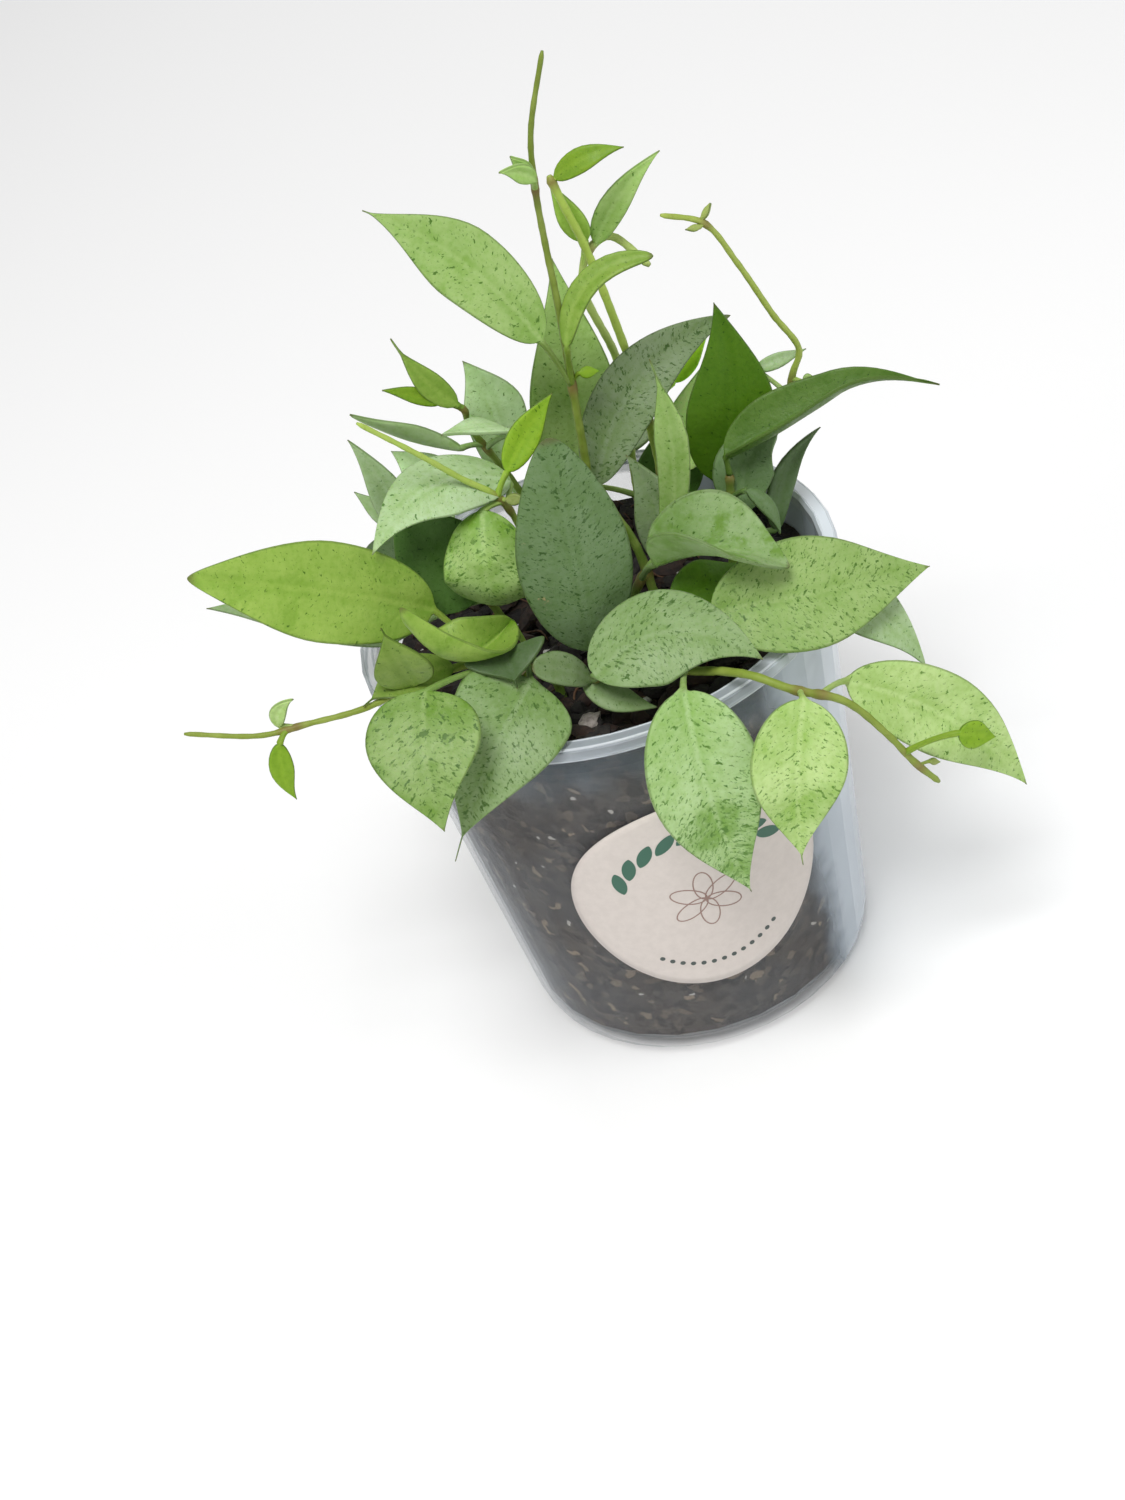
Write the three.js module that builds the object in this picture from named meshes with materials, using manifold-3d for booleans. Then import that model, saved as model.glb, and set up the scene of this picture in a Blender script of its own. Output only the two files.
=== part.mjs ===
// A small trailing wax plant with flecked mint-green leaves, in a clear round nursery pot.
// Millimetres, +Z up. The origin is the middle of the pot's underside, and -Y is the front,
// where the round sticker is. Each leafy stem is one solid: stem, leaf stalks and leaf blades
// grown together. It stands in a plain hole in the soil, which fills the pot.

import * as THREE from "three";
import { mergeVertices } from "three/addons/utils/BufferGeometryUtils.js";
import Module from "manifold-3d";

const wasm = await Module();
wasm.setup();

// Pot
const RIM_RADIUS = 52.5;
const POT_HEIGHT = 104;
const WALL_TOP_RADIUS = 49.8;
const FOOT_RADIUS = 40.5;
const WALL = 1;
const FLOOR = 1.4;
const RIM_DROP = 3.4;
const FOOT_ROUND = 6;
const FOOT_CORNER = 3.5;
const POT_SIDES = 40;
const HUB_RADIUS = 13;
const GUTTER_RADIUS = 31;
const GUTTER_RISE = 1.2;
const DRAIN_HOLES = 5;
const DRAIN_RADIUS = 3.5;

// Soil
const SOIL_TOP = 94;
const SOIL_GAP = 0.3;
const SOIL_RINGS = 5;
const SOIL_SIDES = 26;
const SOIL_LUMP = 1.3;

// Sticker
const STICKER_RADIUS = 28.2;
const STICKER_HEIGHT = 52.8;
const STICKER_TURN = 1.2;
const STICKER_THICK = 0.3;
const STICKER_GAP = 0.3;
const STICKER_RINGS = [1, 10, 19, STICKER_RADIUS];
const STICKER_SIDES = 28;

// Plant
const BLADE_MIDDLE = 1.3;
const BLADE_EDGE = 0.7;
const TIP_HALF_WIDTH = 0.45;
const STALK_RADIUS = 0.75;
const STALK_ARCH = 0.12;
const CURL_FROM = 0.6;
const STEM_SIDES = 6;
const ROOT_DEPTH = 22;
const HOLE_GAP = 0.45;
const HOLE_SIDES = 8;
const LEAF_GRIDS = [
  { upTo: 9, stations: [0.06, 0.32, 0.68, 1], columns: [-1, 0, 1] },
  { upTo: 15, stations: [0.04, 0.16, 0.36, 0.6, 0.82, 1], columns: [-1, 0, 1] },
  { upTo: 99, stations: [0.03, 0.11, 0.25, 0.43, 0.63, 0.8, 0.93, 1], columns: [-1, -0.5, 0, 0.5, 1] },
];

const COLOURS = {
  pot: new THREE.MeshStandardMaterial(
    { color: 0xdfe7ea, roughness: 0.25, transparent: true, opacity: 0.45 }),
  soil: new THREE.MeshStandardMaterial({ color: 0x3b2a20, roughness: 0.95 }),
  sticker: new THREE.MeshStandardMaterial({ color: 0xe9e0da, roughness: 0.5 }),
  leaf: new THREE.MeshStandardMaterial({ color: 0x84ad62, roughness: 0.45 }),
};

// Every leafy stem: its radius at the soil and at its end, its route from the soil up, and its
// leaves. A leaf has a name, the place on the stem that it grows from, its blade's base and tip,
// its width and the way its upper face looks. Its form has more where it isn't flat and even:
// bow, how far the midrib rises to that side, sweep, how far it bends sideways, cup, how steeply
// the halves rise, in degrees, cupTip, the same at the tip, twist, how far the tip turns round the
// midrib, in degrees, curl, how far the end bends down, widest, a share of length, and full, from
// -1 for a hollow, drawn-out end to 1 for a round one, and more for a blunt one.
const LEAFY_STEMS = [
  {
    name: "stem_upright",
    radii: [1.15, 0.5],
    route: [
      [3, 4, 98], [4, 1, 116], [6, 0, 133], [8, 0, 152], [10, 0, 171],
      [11, 0, 184], [12, -1, 195], [14, -2, 206], [20, -4, 221],
    ],
    leaves: [
      ["broad_left", [8, 0, 152], [4.4, -4, 166.3], [-20, 4, 200], 14.6, [0.1, -1, 0.5],
        { bow: 2, sweep: 2.9, cup: 10, widest: 0.5, full: -0.2 }],
      ["curled_right", [8, 0, 152], [9, -4, 163], [30, -3, 175], 5.5, [-0.5, -0.7, 0.7],
        { bow: 2, sweep: -5, cup: 15, full: 1 }],
      ["bud_low", [8, 0, 153], [10, -1, 155], [14, -1, 154], 2.5, [0, -1, 0.5], {}],
      ["pair_left", [12, -1, 195], [12, -4, 198], [6, -7, 203], 4, [-0.3, -1, 0.3], { sweep: 1, cup: 20 }],
      ["pair_up", [12, -1, 197], [12, -3, 199], [9, -4, 204], 3, [-0.3, -1, 0.3], { cup: 20 }],
    ],
  },
  {
    name: "stem_pale",
    radii: [1, 0.8],
    route: [
      [21, 14, 98], [22, 13, 126], [22, 13, 139], [21, 12, 155],
      [19, 10, 175], [17, 9, 186], [16, 9, 192],
    ],
    leaves: [
      ["young_right", [16, 9, 191], [17, 9, 191], [31, 6, 194], 5, [-0.1, -0.8, 0.6],
        { bow: 1, sweep: -1, cup: 10 }],
      ["bright_small", [22, 13, 132], [30, 18, 135], [39, 18, 142.5], 4.2, [0, -1, 0.5], { cup: 10 }],
      ["hidden_grey", [22, 13, 118], [27, 14, 116], [37, 16, 138], 11, [0, -1, 0.5],
        { bow: 1, sweep: -1, cup: 8 }],
    ],
  },
  {
    name: "stem_behind",
    radii: [1, 0.8],
    route: [
      [16, 26, 98], [18, 25, 120], [20, 21, 142], [17, 16, 164],
      [20, 16, 171], [25, 17, 172], [31, 15, 164],
    ],
    leaves: [
      ["shade_back", [16, 26, 103], [21, 21, 104], [29, 20, 128], 15, [0, -1, 0.4], { bow: 1, cup: 8 }],
      ["tall_back", [16, 25, 106], [4, 20, 117], [13, 22, 169], 19, [0, -1, 0.4],
        { bow: 2, sweep: 1, cup: 10 }],
      ["young_dark", [17, 16, 164], [20, 15, 174], [16, 13, 189], 5.5, [-0.2, -1, 0.3],
        { bow: 1, cup: 15 }],
      ["young_bright", [20, 16, 171], [22, 16, 172], [38, 10, 189], 6, [0.2, -1, 0.4],
        { bow: 1, sweep: -2, cup: 15 }],
    ],
  },
  {
    name: "stem_right_shoot",
    radii: [0.9, 0.55],
    route: [
      [33, 17, 98], [44, 15, 116], [51, 9, 128], [53, 6, 135], [55, 5, 140],
      [51, 3, 151], [46, 0, 166], [41, -3, 178], [33, -6, 184],
    ],
    leaves: [
      ["dark_tall", [36, 17, 103], [32, 8, 115], [41, 10, 154], 19, [-0.2, -1, 0.3],
        { bow: 2, sweep: 3.5, cup: 10 }],
      ["stub_left", [51, 9, 129], [46, 10, 136], [57, 8, 138], 3.3, [0, -0.8, 0.6], { cup: 10 }],
      ["stub_right", [53, 6, 133], [54, 4, 133], [57, 3, 133], 3.5, [0, -0.8, 0.6], { cup: 20 }],
      ["hook_left", [41, -3, 178], [40, -4, 178], [37, -5, 179], 1.4, [0, -0.8, 0.6], {}],
      ["hook_right", [41, -3, 178], [41, -3, 179], [43, -4, 182], 1.4, [-0.8, -0.5, 0.6], {}],
    ],
  },
  {
    name: "stem_left_shoot",
    radii: [1, 0.6],
    route: [[-6, 14, 98], [-8, 11, 125], [-14, 8, 147], [-14, 6, 152], [-18, 5, 156]],
    leaves: [
      ["young_high", [-14, 6, 152], [-15, 5, 154], [-23, 2, 174], 5.5, [0, -1, 0.5],
        { sweep: -1, cup: 15, widest: 0.34, full: -0.8 }],
      ["young_low", [-17, 5, 155], [-18, 4, 156], [-28, 2, 164], 3.5, [0, -1, 0.5],
        { sweep: 0.5, cup: 15 }],
      ["round_back", [-7, 12, 118], [-11, 16, 130], [-11, 12, 159], 13, [0, -1, 0.5],
        { bow: 1, sweep: 3, cup: 8, widest: 0.55 }],
      ["flat_back", [-12, 9, 140], [-6, 4, 144], [-20, -3, 153], 12, [-0.2, -0.1, 1],
        { bow: 2, sweep: -2, cup: 5 }],
      ["folded_left", [-12, 9, 141], [-17, 7, 143], [-36, 10, 157], 8, [0.2, 0.8, 0.7],
        { bow: 1, sweep: 4, cup: 15 }],
    ],
  },
  {
    name: "stem_bud",
    radii: [0.95, 0.5],
    route: [
      [-8, -6, 98], [-10, -9, 120], [-13, -15, 142],
      [-19, -16, 150], [-25, -18, 159], [-34, -20, 171],
    ],
    leaves: [
      ["bright_bud", [-13, -15, 143], [-10, -16, 148], [3, -14, 160], 6.5, [-0.2, -1, 0.3],
        { bow: -1, sweep: -0.5, cup: 12 }],
      ["drooping_pale", [-12, -14, 139], [-10, -12, 143], [-40, -24, 145], 15, [-0.2, -0.6, 1],
        { bow: 4, sweep: 5, cup: -8 }],
      ["blistered", [-13, -15, 141], [-17, -17, 142], [-22, -24, 122], 18, [-0.2, -1, 0.6],
        { bow: 3, cup: -15, curl: 9, widest: 0.5, full: 1.6 }],
      ["shaded_round", [-9, -8, 110], [-24, -13, 120], [-34, -8, 146], 20, [0, -1, 0.5],
        { bow: 2, cup: 10 }],
      ["node_bit", [-13, -15, 142], [-12, -16, 142], [-8, -18, 142], 2.5, [0, -1, 0.5], { cup: 10 }],
    ],
  },
  {
    name: "stem_left",
    radii: [1, 0.8],
    route: [[-20, 4, 98], [-23, 4, 112], [-28, 6, 124]],
    leaves: [
      ["grey_point", [-28, 6, 123], [-34, 5, 128], [-38, 4, 155], 8, [-0.2, -1, 0.5],
        { bow: 1, sweep: 2, cup: 15 }],
      ["grey_low", [-28, 6, 123], [-34, 10, 128], [-41, 13, 138], 5, [-0.2, -0.8, 0.8],
        { bow: 1, cup: 15 }],
      ["pale_behind", [-25, 5, 118], [-23, 14, 127], [-31, 17, 142], 11, [-0.1, -0.8, 0.8],
        { bow: 1, sweep: 1, cup: 10 }],
      ["under_left", [-22, 4, 108], [-42, -2, 110], [-76, -8, 136], 11, [-0.1, -0.7, 0.9],
        { bow: 1, sweep: 1.5, cup: 10 }],
    ],
  },
  {
    name: "runner_left",
    radii: [1, 0.5],
    route: [
      [-20, -14, 98], [-24, -19, 108], [-32, -25, 114], [-40, -28, 116],
      [-52, -32, 117], [-64, -32, 118], [-73, -32, 119], [-87, -30, 124],
    ],
    leaves: [
      ["long_left", [-26, -21, 110], [-33, -20, 126], [-74, -28, 156], 20, [0, -1, 0.6],
        { bow: 3, sweep: 1, cup: 8, widest: 0.48, full: 0.3 }],
      ["horned", [-28, -23, 112], [-33, -26, 115], [-52, -33, 118.3], 9, [-0.2, -0.7, 0.9],
        { bow: 1, sweep: 1.5, cup: 10, widest: 0.5, full: -0.6 }],
      ["horn", [-40, -28, 116], [-41, -31, 118], [-43, -34, 135], 12, [-0.2, -0.8, 0.6],
        { bow: 1, cup: 10, widest: 0.34, full: -0.4 }],
      ["node_fold", [-66, -32, 118], [-69, -31, 119], [-64, -34, 126], 3.5, [0, -1, 0.4],
        { sweep: -1.5, cup: 20 }],
      ["node_drop", [-68, -32, 118], [-70, -34, 117], [-71, -37, 105], 5, [0, -1, 0.4],
        { sweep: 1, cup: 10 }],
    ],
  },
  {
    name: "stem_front_left",
    radii: [1.1, 0.9],
    route: [[-14, -20, 98], [-16, -24, 106], [-20, -27, 111]],
    leaves: [
      ["boat", [-17, -25, 107], [-19, -24, 120], [-38, -34, 138], 16, [0.1, -0.4, 0.9],
        { bow: -5, sweep: -7, cup: 55, cupTip: 30, twist: 100, full: 0.3 }],
      ["spike", [-15, -22, 102], [-22, -32, 119], [-22, -41, 116], 17, [0, -0.3, 1],
        { cup: 12, widest: 0.12, full: -0.6 }],
      ["rim_left", [-20, -27, 111], [-39, -42, 123], [-44, -62, 105], 23, [-0.2, -1, 0.4],
        { bow: 3, sweep: 1, cup: 6, widest: 0.33 }],
      ["rim_left_long", [-19, -26, 109], [-19, -36, 113], [-45, -51, 88], 24, [-0.1, -0.9, 0.6],
        { bow: 8, sweep: 1, cup: 5, widest: 0.16, full: -0.5 }],
    ],
  },
  {
    name: "stem_centre",
    radii: [1.1, 0.9],
    route: [[2, -14, 98], [5, -16, 108], [10, -19, 117]],
    leaves: [
      ["broad_dark", [3, -15, 102], [-5, -26, 108], [-1, -26, 158], 23, [0, -1, 0.25],
        { bow: 2, cup: -8, widest: 0.45, full: 0.6 }],
      ["upright_narrow", [10, -19, 117], [15, -18, 120], [23, -12, 159], 7, [-0.3, -1, 0.2],
        { bow: 1, sweep: 3.5, cup: 15, widest: 0.6, full: -0.8 }],
      ["cupped", [9, -18, 115], [12, -28, 124], [36, -38, 120], 24, [0, -0.15, 1],
        { bow: 4, cup: 84, cupTip: 15, full: 0.2 }],
    ],
  },
  {
    name: "stem_middle",
    radii: [1.1, 0.9],
    route: [[12, 0, 98], [11, 0, 112], [8, 1, 122]],
    leaves: [
      ["slate_right", [8, 1, 121], [7, 3, 126.6], [44.3, 14, 147.8], 13.8, [-0.3, -1, 0.3],
        { bow: 3.2, sweep: -6.8, cup: 8, full: 0.2 }],
      ["slate_small", [12, 0, 104], [15, -6, 109], [14, -5, 136], 11, [-0.2, -1, 0.3],
        { bow: 1, sweep: 3, cup: 8 }],
    ],
  },
  {
    name: "stem_right",
    radii: [1.1, 0.9],
    route: [[30, 0, 98], [32, -1, 110], [34, -1, 121]],
    leaves: [
      ["long_right", [34, -1, 121], [34, -2, 126], [74, -8, 141.5], 14.5, [0, -0.2, 1],
        { bow: -1.4, cup: 45, curl: 15, widest: 0.3, full: -0.2 }],
      ["slate_edge", [32, 0, 107], [36, -1, 111], [49, 1.5, 127], 13, [0, -1, 0.5],
        { bow: 1, sweep: -5, cup: 10 }],
      ["dark_edge", [31, 0, 104], [41, 0, 103], [56, 6, 120], 6, [0.2, -1, 0.3],
        { bow: 1, sweep: -4, cup: 15 }],
      ["under_cup", [33, -1, 115], [36, -6, 119], [40, -9, 108], 4, [0.3, -0.5, 1], { bow: 1, sweep: -1 }],
    ],
  },
  {
    name: "stem_right_low",
    radii: [1.1, 0.9],
    route: [[16, -18, 98], [17, -24, 105], [17, -28, 110]],
    leaves: [
      ["broad_right", [17, -28, 110], [19, -36, 114], [64, -34, 106], 23, [0, -0.9, 0.8],
        { bow: 3, sweep: 0.5, cup: 8 }],
      ["under_right", [17, -26, 107], [36, -30, 112], [58, -39, 86], 13, [0.3, -0.7, 0.7],
        { bow: 5, sweep: -2 }],
      ["shade_right", [17, -22, 102], [13, -24, 112], [30, -20, 112], 12, [0, -1, 0.6],
        { bow: 1, sweep: 1, cup: 5 }],
    ],
  },
  {
    name: "stem_front",
    radii: [1.1, 0.9],
    route: [[-4, -24, 98], [-5, -30, 104], [-7, -37, 109]],
    leaves: [
      ["rim_round", [-7, -37, 109], [-7, -40, 112], [25, -49, 109], 21, [0, -0.5, 1],
        { bow: 4, sweep: -6, cup: -6 }],
      ["tucked", [-5, -31, 105], [-9, -35, 108], [3, -42, 101], 6.5, [0, -0.5, 1], { sweep: 1 }],
      ["short_fold", [-6, -34, 107], [-8, -36, 108], [-18, -38, 117], 7, [0.2, -0.7, 0.8],
        { bow: 1, sweep: 1, cup: 8, widest: 0.6, full: 1 }],
    ],
  },
  {
    name: "runner_right",
    radii: [1.1, 0.65],
    route: [
      [8, -24, 98], [9, -32, 103], [12, -41, 106], [17, -47, 108], [22, -53, 109],
      [28, -57, 106], [37, -58, 100], [44, -58, 88], [48, -58, 79], [52, -58, 72],
    ],
    leaves: [
      ["rim_front", [11, -39, 105], [8, -54, 112], [9, -64, 66], 23, [0.1, -1, 0.3],
        { bow: 4, sweep: 2.5, cup: 8, widest: 0.35, full: -0.1 }],
      ["hanging_pale", [29, -57, 105], [29, -61, 106], [20, -68, 72], 19.5, [0, -1, 0.4],
        { bow: 2, sweep: 1.5, cup: 8, widest: 0.35, full: -0.3 }],
      ["long_low", [33, -58, 103], [40, -50, 98], [71, -52, 58], 17, [0.1, -1, 0.5],
        { bow: 3, sweep: -3.5, cup: 6 }],
      ["round_tip", [48, -58, 83], [57, -62, 86], [64, -62, 82], 6, [0, -1, 0.4], { cup: 5 }],
      ["claw", [49, -58, 78], [51, -58, 78], [53, -58, 77], 1.5, [0, -1, 0.4], {}],
    ],
  },
  {
    name: "stem_rear_left",
    radii: [1.1, 0.9],
    route: [[-16, 24, 98], [-20, 28, 106], [-26, 31, 113]],
    leaves: [
      ["rear_left_a", [-26, 31, 113], [-28, 35, 114], [-38, 62, 99], 18, [-0.2, 0.5, 1],
        { bow: 5, cup: 8 }],
      ["rear_left_b", [-20, 28, 106], [-14, 38, 111], [-16, 69, 95], 17, [0, 0.5, 1], { bow: 6, cup: 8 }],
      ["rear_left_c", [-22, 29, 108], [-32, 23, 111], [-53, 32, 97], 18, [-0.5, 0, 1], { bow: 5, cup: 8 }],
    ],
  },
  {
    name: "stem_rear",
    radii: [1.1, 0.9],
    route: [[0, 32, 98], [2, 36, 106], [4, 38, 113]],
    leaves: [
      ["rear_a", [4, 38, 113], [5, 42, 115], [3, 73, 95], 18, [0, 0.6, 1], { bow: 6, cup: 8 }],
      ["rear_b", [2, 36, 107], [18, 38, 110], [22, 69, 92], 17, [0.2, 0.5, 1], { bow: 5, cup: 8 }],
    ],
  },
  {
    name: "stem_rear_right",
    radii: [1.1, 0.9],
    route: [[26, 26, 98], [30, 28, 105], [34, 30, 110]],
    leaves: [
      ["rear_right_a", [31, 29, 106], [37, 34, 109], [51, 49, 89], 16, [0.5, 0.4, 1], { bow: 4, cup: 5 }],
      ["rear_right_b", [34, 30, 110], [31, 37, 113], [37, 62, 94], 16, [0.2, 0.5, 1], { bow: 5, cup: 8 }],
    ],
  },
];

const vector = (p) => new THREE.Vector3(...p);

// A closed solid from a three.js geometry.
function solidOf(geometry) {
  const bare = geometry.index ? geometry.toNonIndexed() : geometry.clone();
  for (const name of Object.keys(bare.attributes)) {
    if (name !== "position") bare.deleteAttribute(name);
  }
  const merged = mergeVertices(bare, 1e-4);
  return new wasm.Manifold(
    new wasm.Mesh({
      numProp: 3,
      vertProperties: new Float32Array(merged.attributes.position.array),
      triVerts: new Uint32Array(merged.index.array),
    }),
  );
}

function geometryOf(solid) {
  const mesh = solid.getMesh();
  const positions = new Float32Array(mesh.numVert * 3);
  for (let i = 0; i < mesh.numVert; i++) {
    positions.set(mesh.vertProperties.subarray(i * mesh.numProp, i * mesh.numProp + 3), i * 3);
  }
  const geometry = new THREE.BufferGeometry();
  geometry.setAttribute("position", new THREE.BufferAttribute(positions, 3));
  geometry.setIndex(new THREE.BufferAttribute(new Uint32Array(mesh.triVerts), 1));
  return geometry;
}

function meshOf(name, geometry, material) {
  const mesh = new THREE.Mesh(geometry, material);
  mesh.name = name;
  return mesh;
}

// A closed skin over loops of equal length, with a fan over the first and the last.
function skinOfLoops(loops) {
  const points = loops.flat();
  const around = loops[0].length;
  const first = points.length;
  const faces = [];
  for (let i = 0; i + 1 < loops.length; i++) {
    for (let j = 0; j < around; j++) {
      const a = i * around + j;
      const b = i * around + ((j + 1) % around);
      faces.push(a, b, b + around, a, b + around, a + around);
    }
  }
  const middle = (loop) => loop.reduce((sum, p) => sum.add(p), new THREE.Vector3()).divideScalar(around);
  points.push(middle(loops[0]), middle(loops.at(-1)));
  const last = (loops.length - 1) * around;
  for (let j = 0; j < around; j++) {
    const next = (j + 1) % around;
    faces.push(first, next, j, first + 1, last + j, last + next);
  }
  const geometry = new THREE.BufferGeometry();
  const positions = points.flatMap((p) => p.toArray());
  geometry.setAttribute("position", new THREE.Float32BufferAttribute(positions, 3));
  geometry.setIndex(faces);
  return geometry;
}

// A stem's curve: straight up through the soil, then along its route.
function stemCurve(route) {
  const [x, y] = route[0];
  const rooted = [SOIL_TOP - ROOT_DEPTH, SOIL_TOP - 10, SOIL_TOP + 1].map((z) => [x, y, z]);
  return new THREE.CatmullRomCurve3([...rooted, ...route].map(vector), false, "centripetal");
}

function stemSolid(stem, curve) {
  const steps = curve.points.length + 3;
  const frames = curve.computeFrenetFrames(steps, false);
  const loops = [];
  for (let i = 0; i <= steps; i++) {
    const share = i / steps;
    const centre = curve.getPointAt(share);
    const radius = THREE.MathUtils.lerp(stem.radii[0], stem.radii[1], share);
    const loop = [];
    for (let j = 0; j < STEM_SIDES; j++) {
      const turn = (j / STEM_SIDES) * 2 * Math.PI;
      loop.push(
        centre
          .clone()
          .addScaledVector(frames.normals[i], Math.cos(turn) * radius)
          .addScaledVector(frames.binormals[i], Math.sin(turn) * radius),
      );
    }
    loops.push(loop);
  }
  return solidOf(skinOfLoops(loops));
}

function nearestOn(curve, place) {
  const spots = curve.getSpacedPoints(120);
  return spots.reduce((best, spot) => (spot.distanceTo(place) < best.distanceTo(place) ? spot : best));
}

// Half of a blade's width at a share of its length, as part of its greatest: a round base, and
// past the widest place sides that turn hollow before the drawn-out tip, or rounder ones.
function outline(share, widest, full) {
  if (share < widest) return Math.sqrt(1 - Math.pow(1 - share / widest, 2));
  const past = (share - widest) / (1 - widest);
  const drawn = 0.55 * (1 - Math.pow(past, 1.8)) + 0.45 * (0.5 + 0.5 * Math.cos(Math.PI * past));
  return THREE.MathUtils.lerp(drawn, Math.sqrt(1 - past * past), full);
}

// The part of a vector that is square to a direction, at length 1.
function square(to, direction) {
  return to.clone().addScaledVector(direction, -to.dot(direction)).normalize();
}

// One leaf, stalk and blade in a single skin. The stalk's round loops run from inside the stem
// to the blade's base, and the blade's loops have a row of points above and the same below.
function leaf(joint, base, tip, width, facing, form) {
  const { bow = 0, sweep = 0, cup = 0, cupTip = cup, twist = 0, curl = 0, widest = 0.4, full = 0 } = form;
  const start = vector(base);
  const chord = vector(tip).sub(start);
  const along = chord.clone().normalize();
  const up = square(vector(facing), along);
  const aside = along.clone().cross(up);
  const { stations, columns } = LEAF_GRIDS.find((grid) => width <= grid.upTo);
  const loops = [];

  const bend = joint.clone().lerp(start, 0.5);
  bend.z += STALK_ARCH * start.distanceTo(joint);
  const stalk = new THREE.QuadraticBezierCurve3(joint, bend, start);
  for (const share of [0, 0.5, 0.92]) {
    const tangent = stalk.getTangent(share);
    const normal = square(up, tangent);
    const side = tangent.clone().cross(normal);
    const loop = [];
    for (let j = 0; j < 2 * columns.length; j++) {
      const turn = Math.PI * (1 - (j + 0.5) / columns.length);
      loop.push(
        stalk
          .getPoint(share)
          .addScaledVector(side, STALK_RADIUS * Math.cos(turn))
          .addScaledVector(normal, STALK_RADIUS * Math.sin(turn)),
      );
    }
    loops.push(loop);
  }

  for (const share of stations) {
    const hump = 4 * share * (1 - share);
    const slope = 4 * (1 - 2 * share);
    const late = Math.max(0, (share - CURL_FROM) / (1 - CURL_FROM));
    const centre = start
      .clone()
      .addScaledVector(chord, share)
      .addScaledVector(up, bow * hump - curl * late * late)
      .addScaledVector(aside, sweep * hump);
    const tangent = chord
      .clone()
      .addScaledVector(up, bow * slope - (curl * 2 * late) / (1 - CURL_FROM))
      .addScaledVector(aside, sweep * slope)
      .normalize();
    const lean = THREE.MathUtils.degToRad(THREE.MathUtils.lerp(cup, cupTip, share));
    const turn = THREE.MathUtils.degToRad(twist * share * share);
    const normal = square(up, tangent).applyAxisAngle(tangent, turn);
    const side = tangent.clone().cross(normal);
    const half = Math.max(TIP_HALF_WIDTH, (width / 2) * outline(share, widest, full));
    const above = [];
    const below = [];
    for (const v of columns) {
      const spot = centre
        .clone()
        .addScaledVector(side, half * v * Math.cos(lean))
        .addScaledVector(normal, half * Math.pow(Math.abs(v), 1.5) * Math.sin(lean));
      const tilt = 1.5 * Math.sign(v) * Math.sqrt(Math.abs(v)) * Math.tan(lean);
      const out = normal.clone().addScaledVector(side, -tilt).normalize();
      const thick = THREE.MathUtils.lerp(BLADE_EDGE, BLADE_MIDDLE, (1 - v * v) * (1 - share * share));
      above.push(spot.clone().addScaledVector(out, thick / 2));
      below.push(spot.clone().addScaledVector(out, -thick / 2));
    }
    loops.push([...above, ...below.reverse()]);
  }
  return solidOf(skinOfLoops(loops));
}

function leafyStem(stem) {
  const curve = stemCurve(stem.route);
  const parts = [stemSolid(stem, curve)];
  for (const [, about, ...shape] of stem.leaves) {
    parts.push(leaf(nearestOn(curve, vector(about)), ...shape));
  }
  return wasm.Manifold.union(parts);
}

function lathe(profile, sides) {
  const points = profile.map(([radius, height]) => new THREE.Vector2(radius, height));
  return solidOf(new THREE.LatheGeometry(points, sides).rotateX(Math.PI / 2));
}

// A plain upright drill, from one height to another.
function drill(x, y, radius, sides, from, to) {
  const shape = new THREE.CylinderGeometry(radius, radius, to - from, sides).rotateX(Math.PI / 2);
  return solidOf(shape.translate(x, y, (from + to) / 2));
}

// The wall's outer radius at a height.
function wallRadius(height) {
  return THREE.MathUtils.lerp(FOOT_RADIUS, WALL_TOP_RADIUS, height / (POT_HEIGHT - RIM_DROP));
}

function pot() {
  const shoulder = POT_HEIGHT - RIM_DROP;
  const footRadius = wallRadius(FOOT_ROUND);
  const round = [0, 30, 60, 90].map((degrees) => {
    const turn = THREE.MathUtils.degToRad(degrees);
    return [footRadius - FOOT_ROUND * (1 - Math.sin(turn)), FOOT_ROUND * (1 - Math.cos(turn))];
  });
  const profile = [
    [0, 0],
    [HUB_RADIUS, 0],
    [HUB_RADIUS + GUTTER_RISE, GUTTER_RISE],
    [GUTTER_RADIUS, GUTTER_RISE],
    [GUTTER_RADIUS + GUTTER_RISE, 0],
    ...round,
    [WALL_TOP_RADIUS, shoulder],
    [RIM_RADIUS - 0.6, shoulder],
    [RIM_RADIUS, shoulder + 0.8],
    [RIM_RADIUS, POT_HEIGHT - 0.7],
    [RIM_RADIUS - 0.7, POT_HEIGHT],
    [WALL_TOP_RADIUS - 0.4, POT_HEIGHT],
    [WALL_TOP_RADIUS - WALL, POT_HEIGHT - 1],
    [WALL_TOP_RADIUS - WALL, shoulder],
    [footRadius - WALL, FOOT_ROUND],
    [footRadius - WALL - FOOT_CORNER, GUTTER_RISE + FLOOR],
    [0, GUTTER_RISE + FLOOR],
  ];
  let made = lathe(profile, POT_SIDES);
  const circle = (HUB_RADIUS + GUTTER_RADIUS) / 2;
  for (let i = 0; i < DRAIN_HOLES; i++) {
    const turn = (i / DRAIN_HOLES) * 2 * Math.PI;
    made = made.subtract(drill(circle * Math.cos(turn), circle * Math.sin(turn), DRAIN_RADIUS, 10, -5, 5));
  }
  return made;
}

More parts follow.
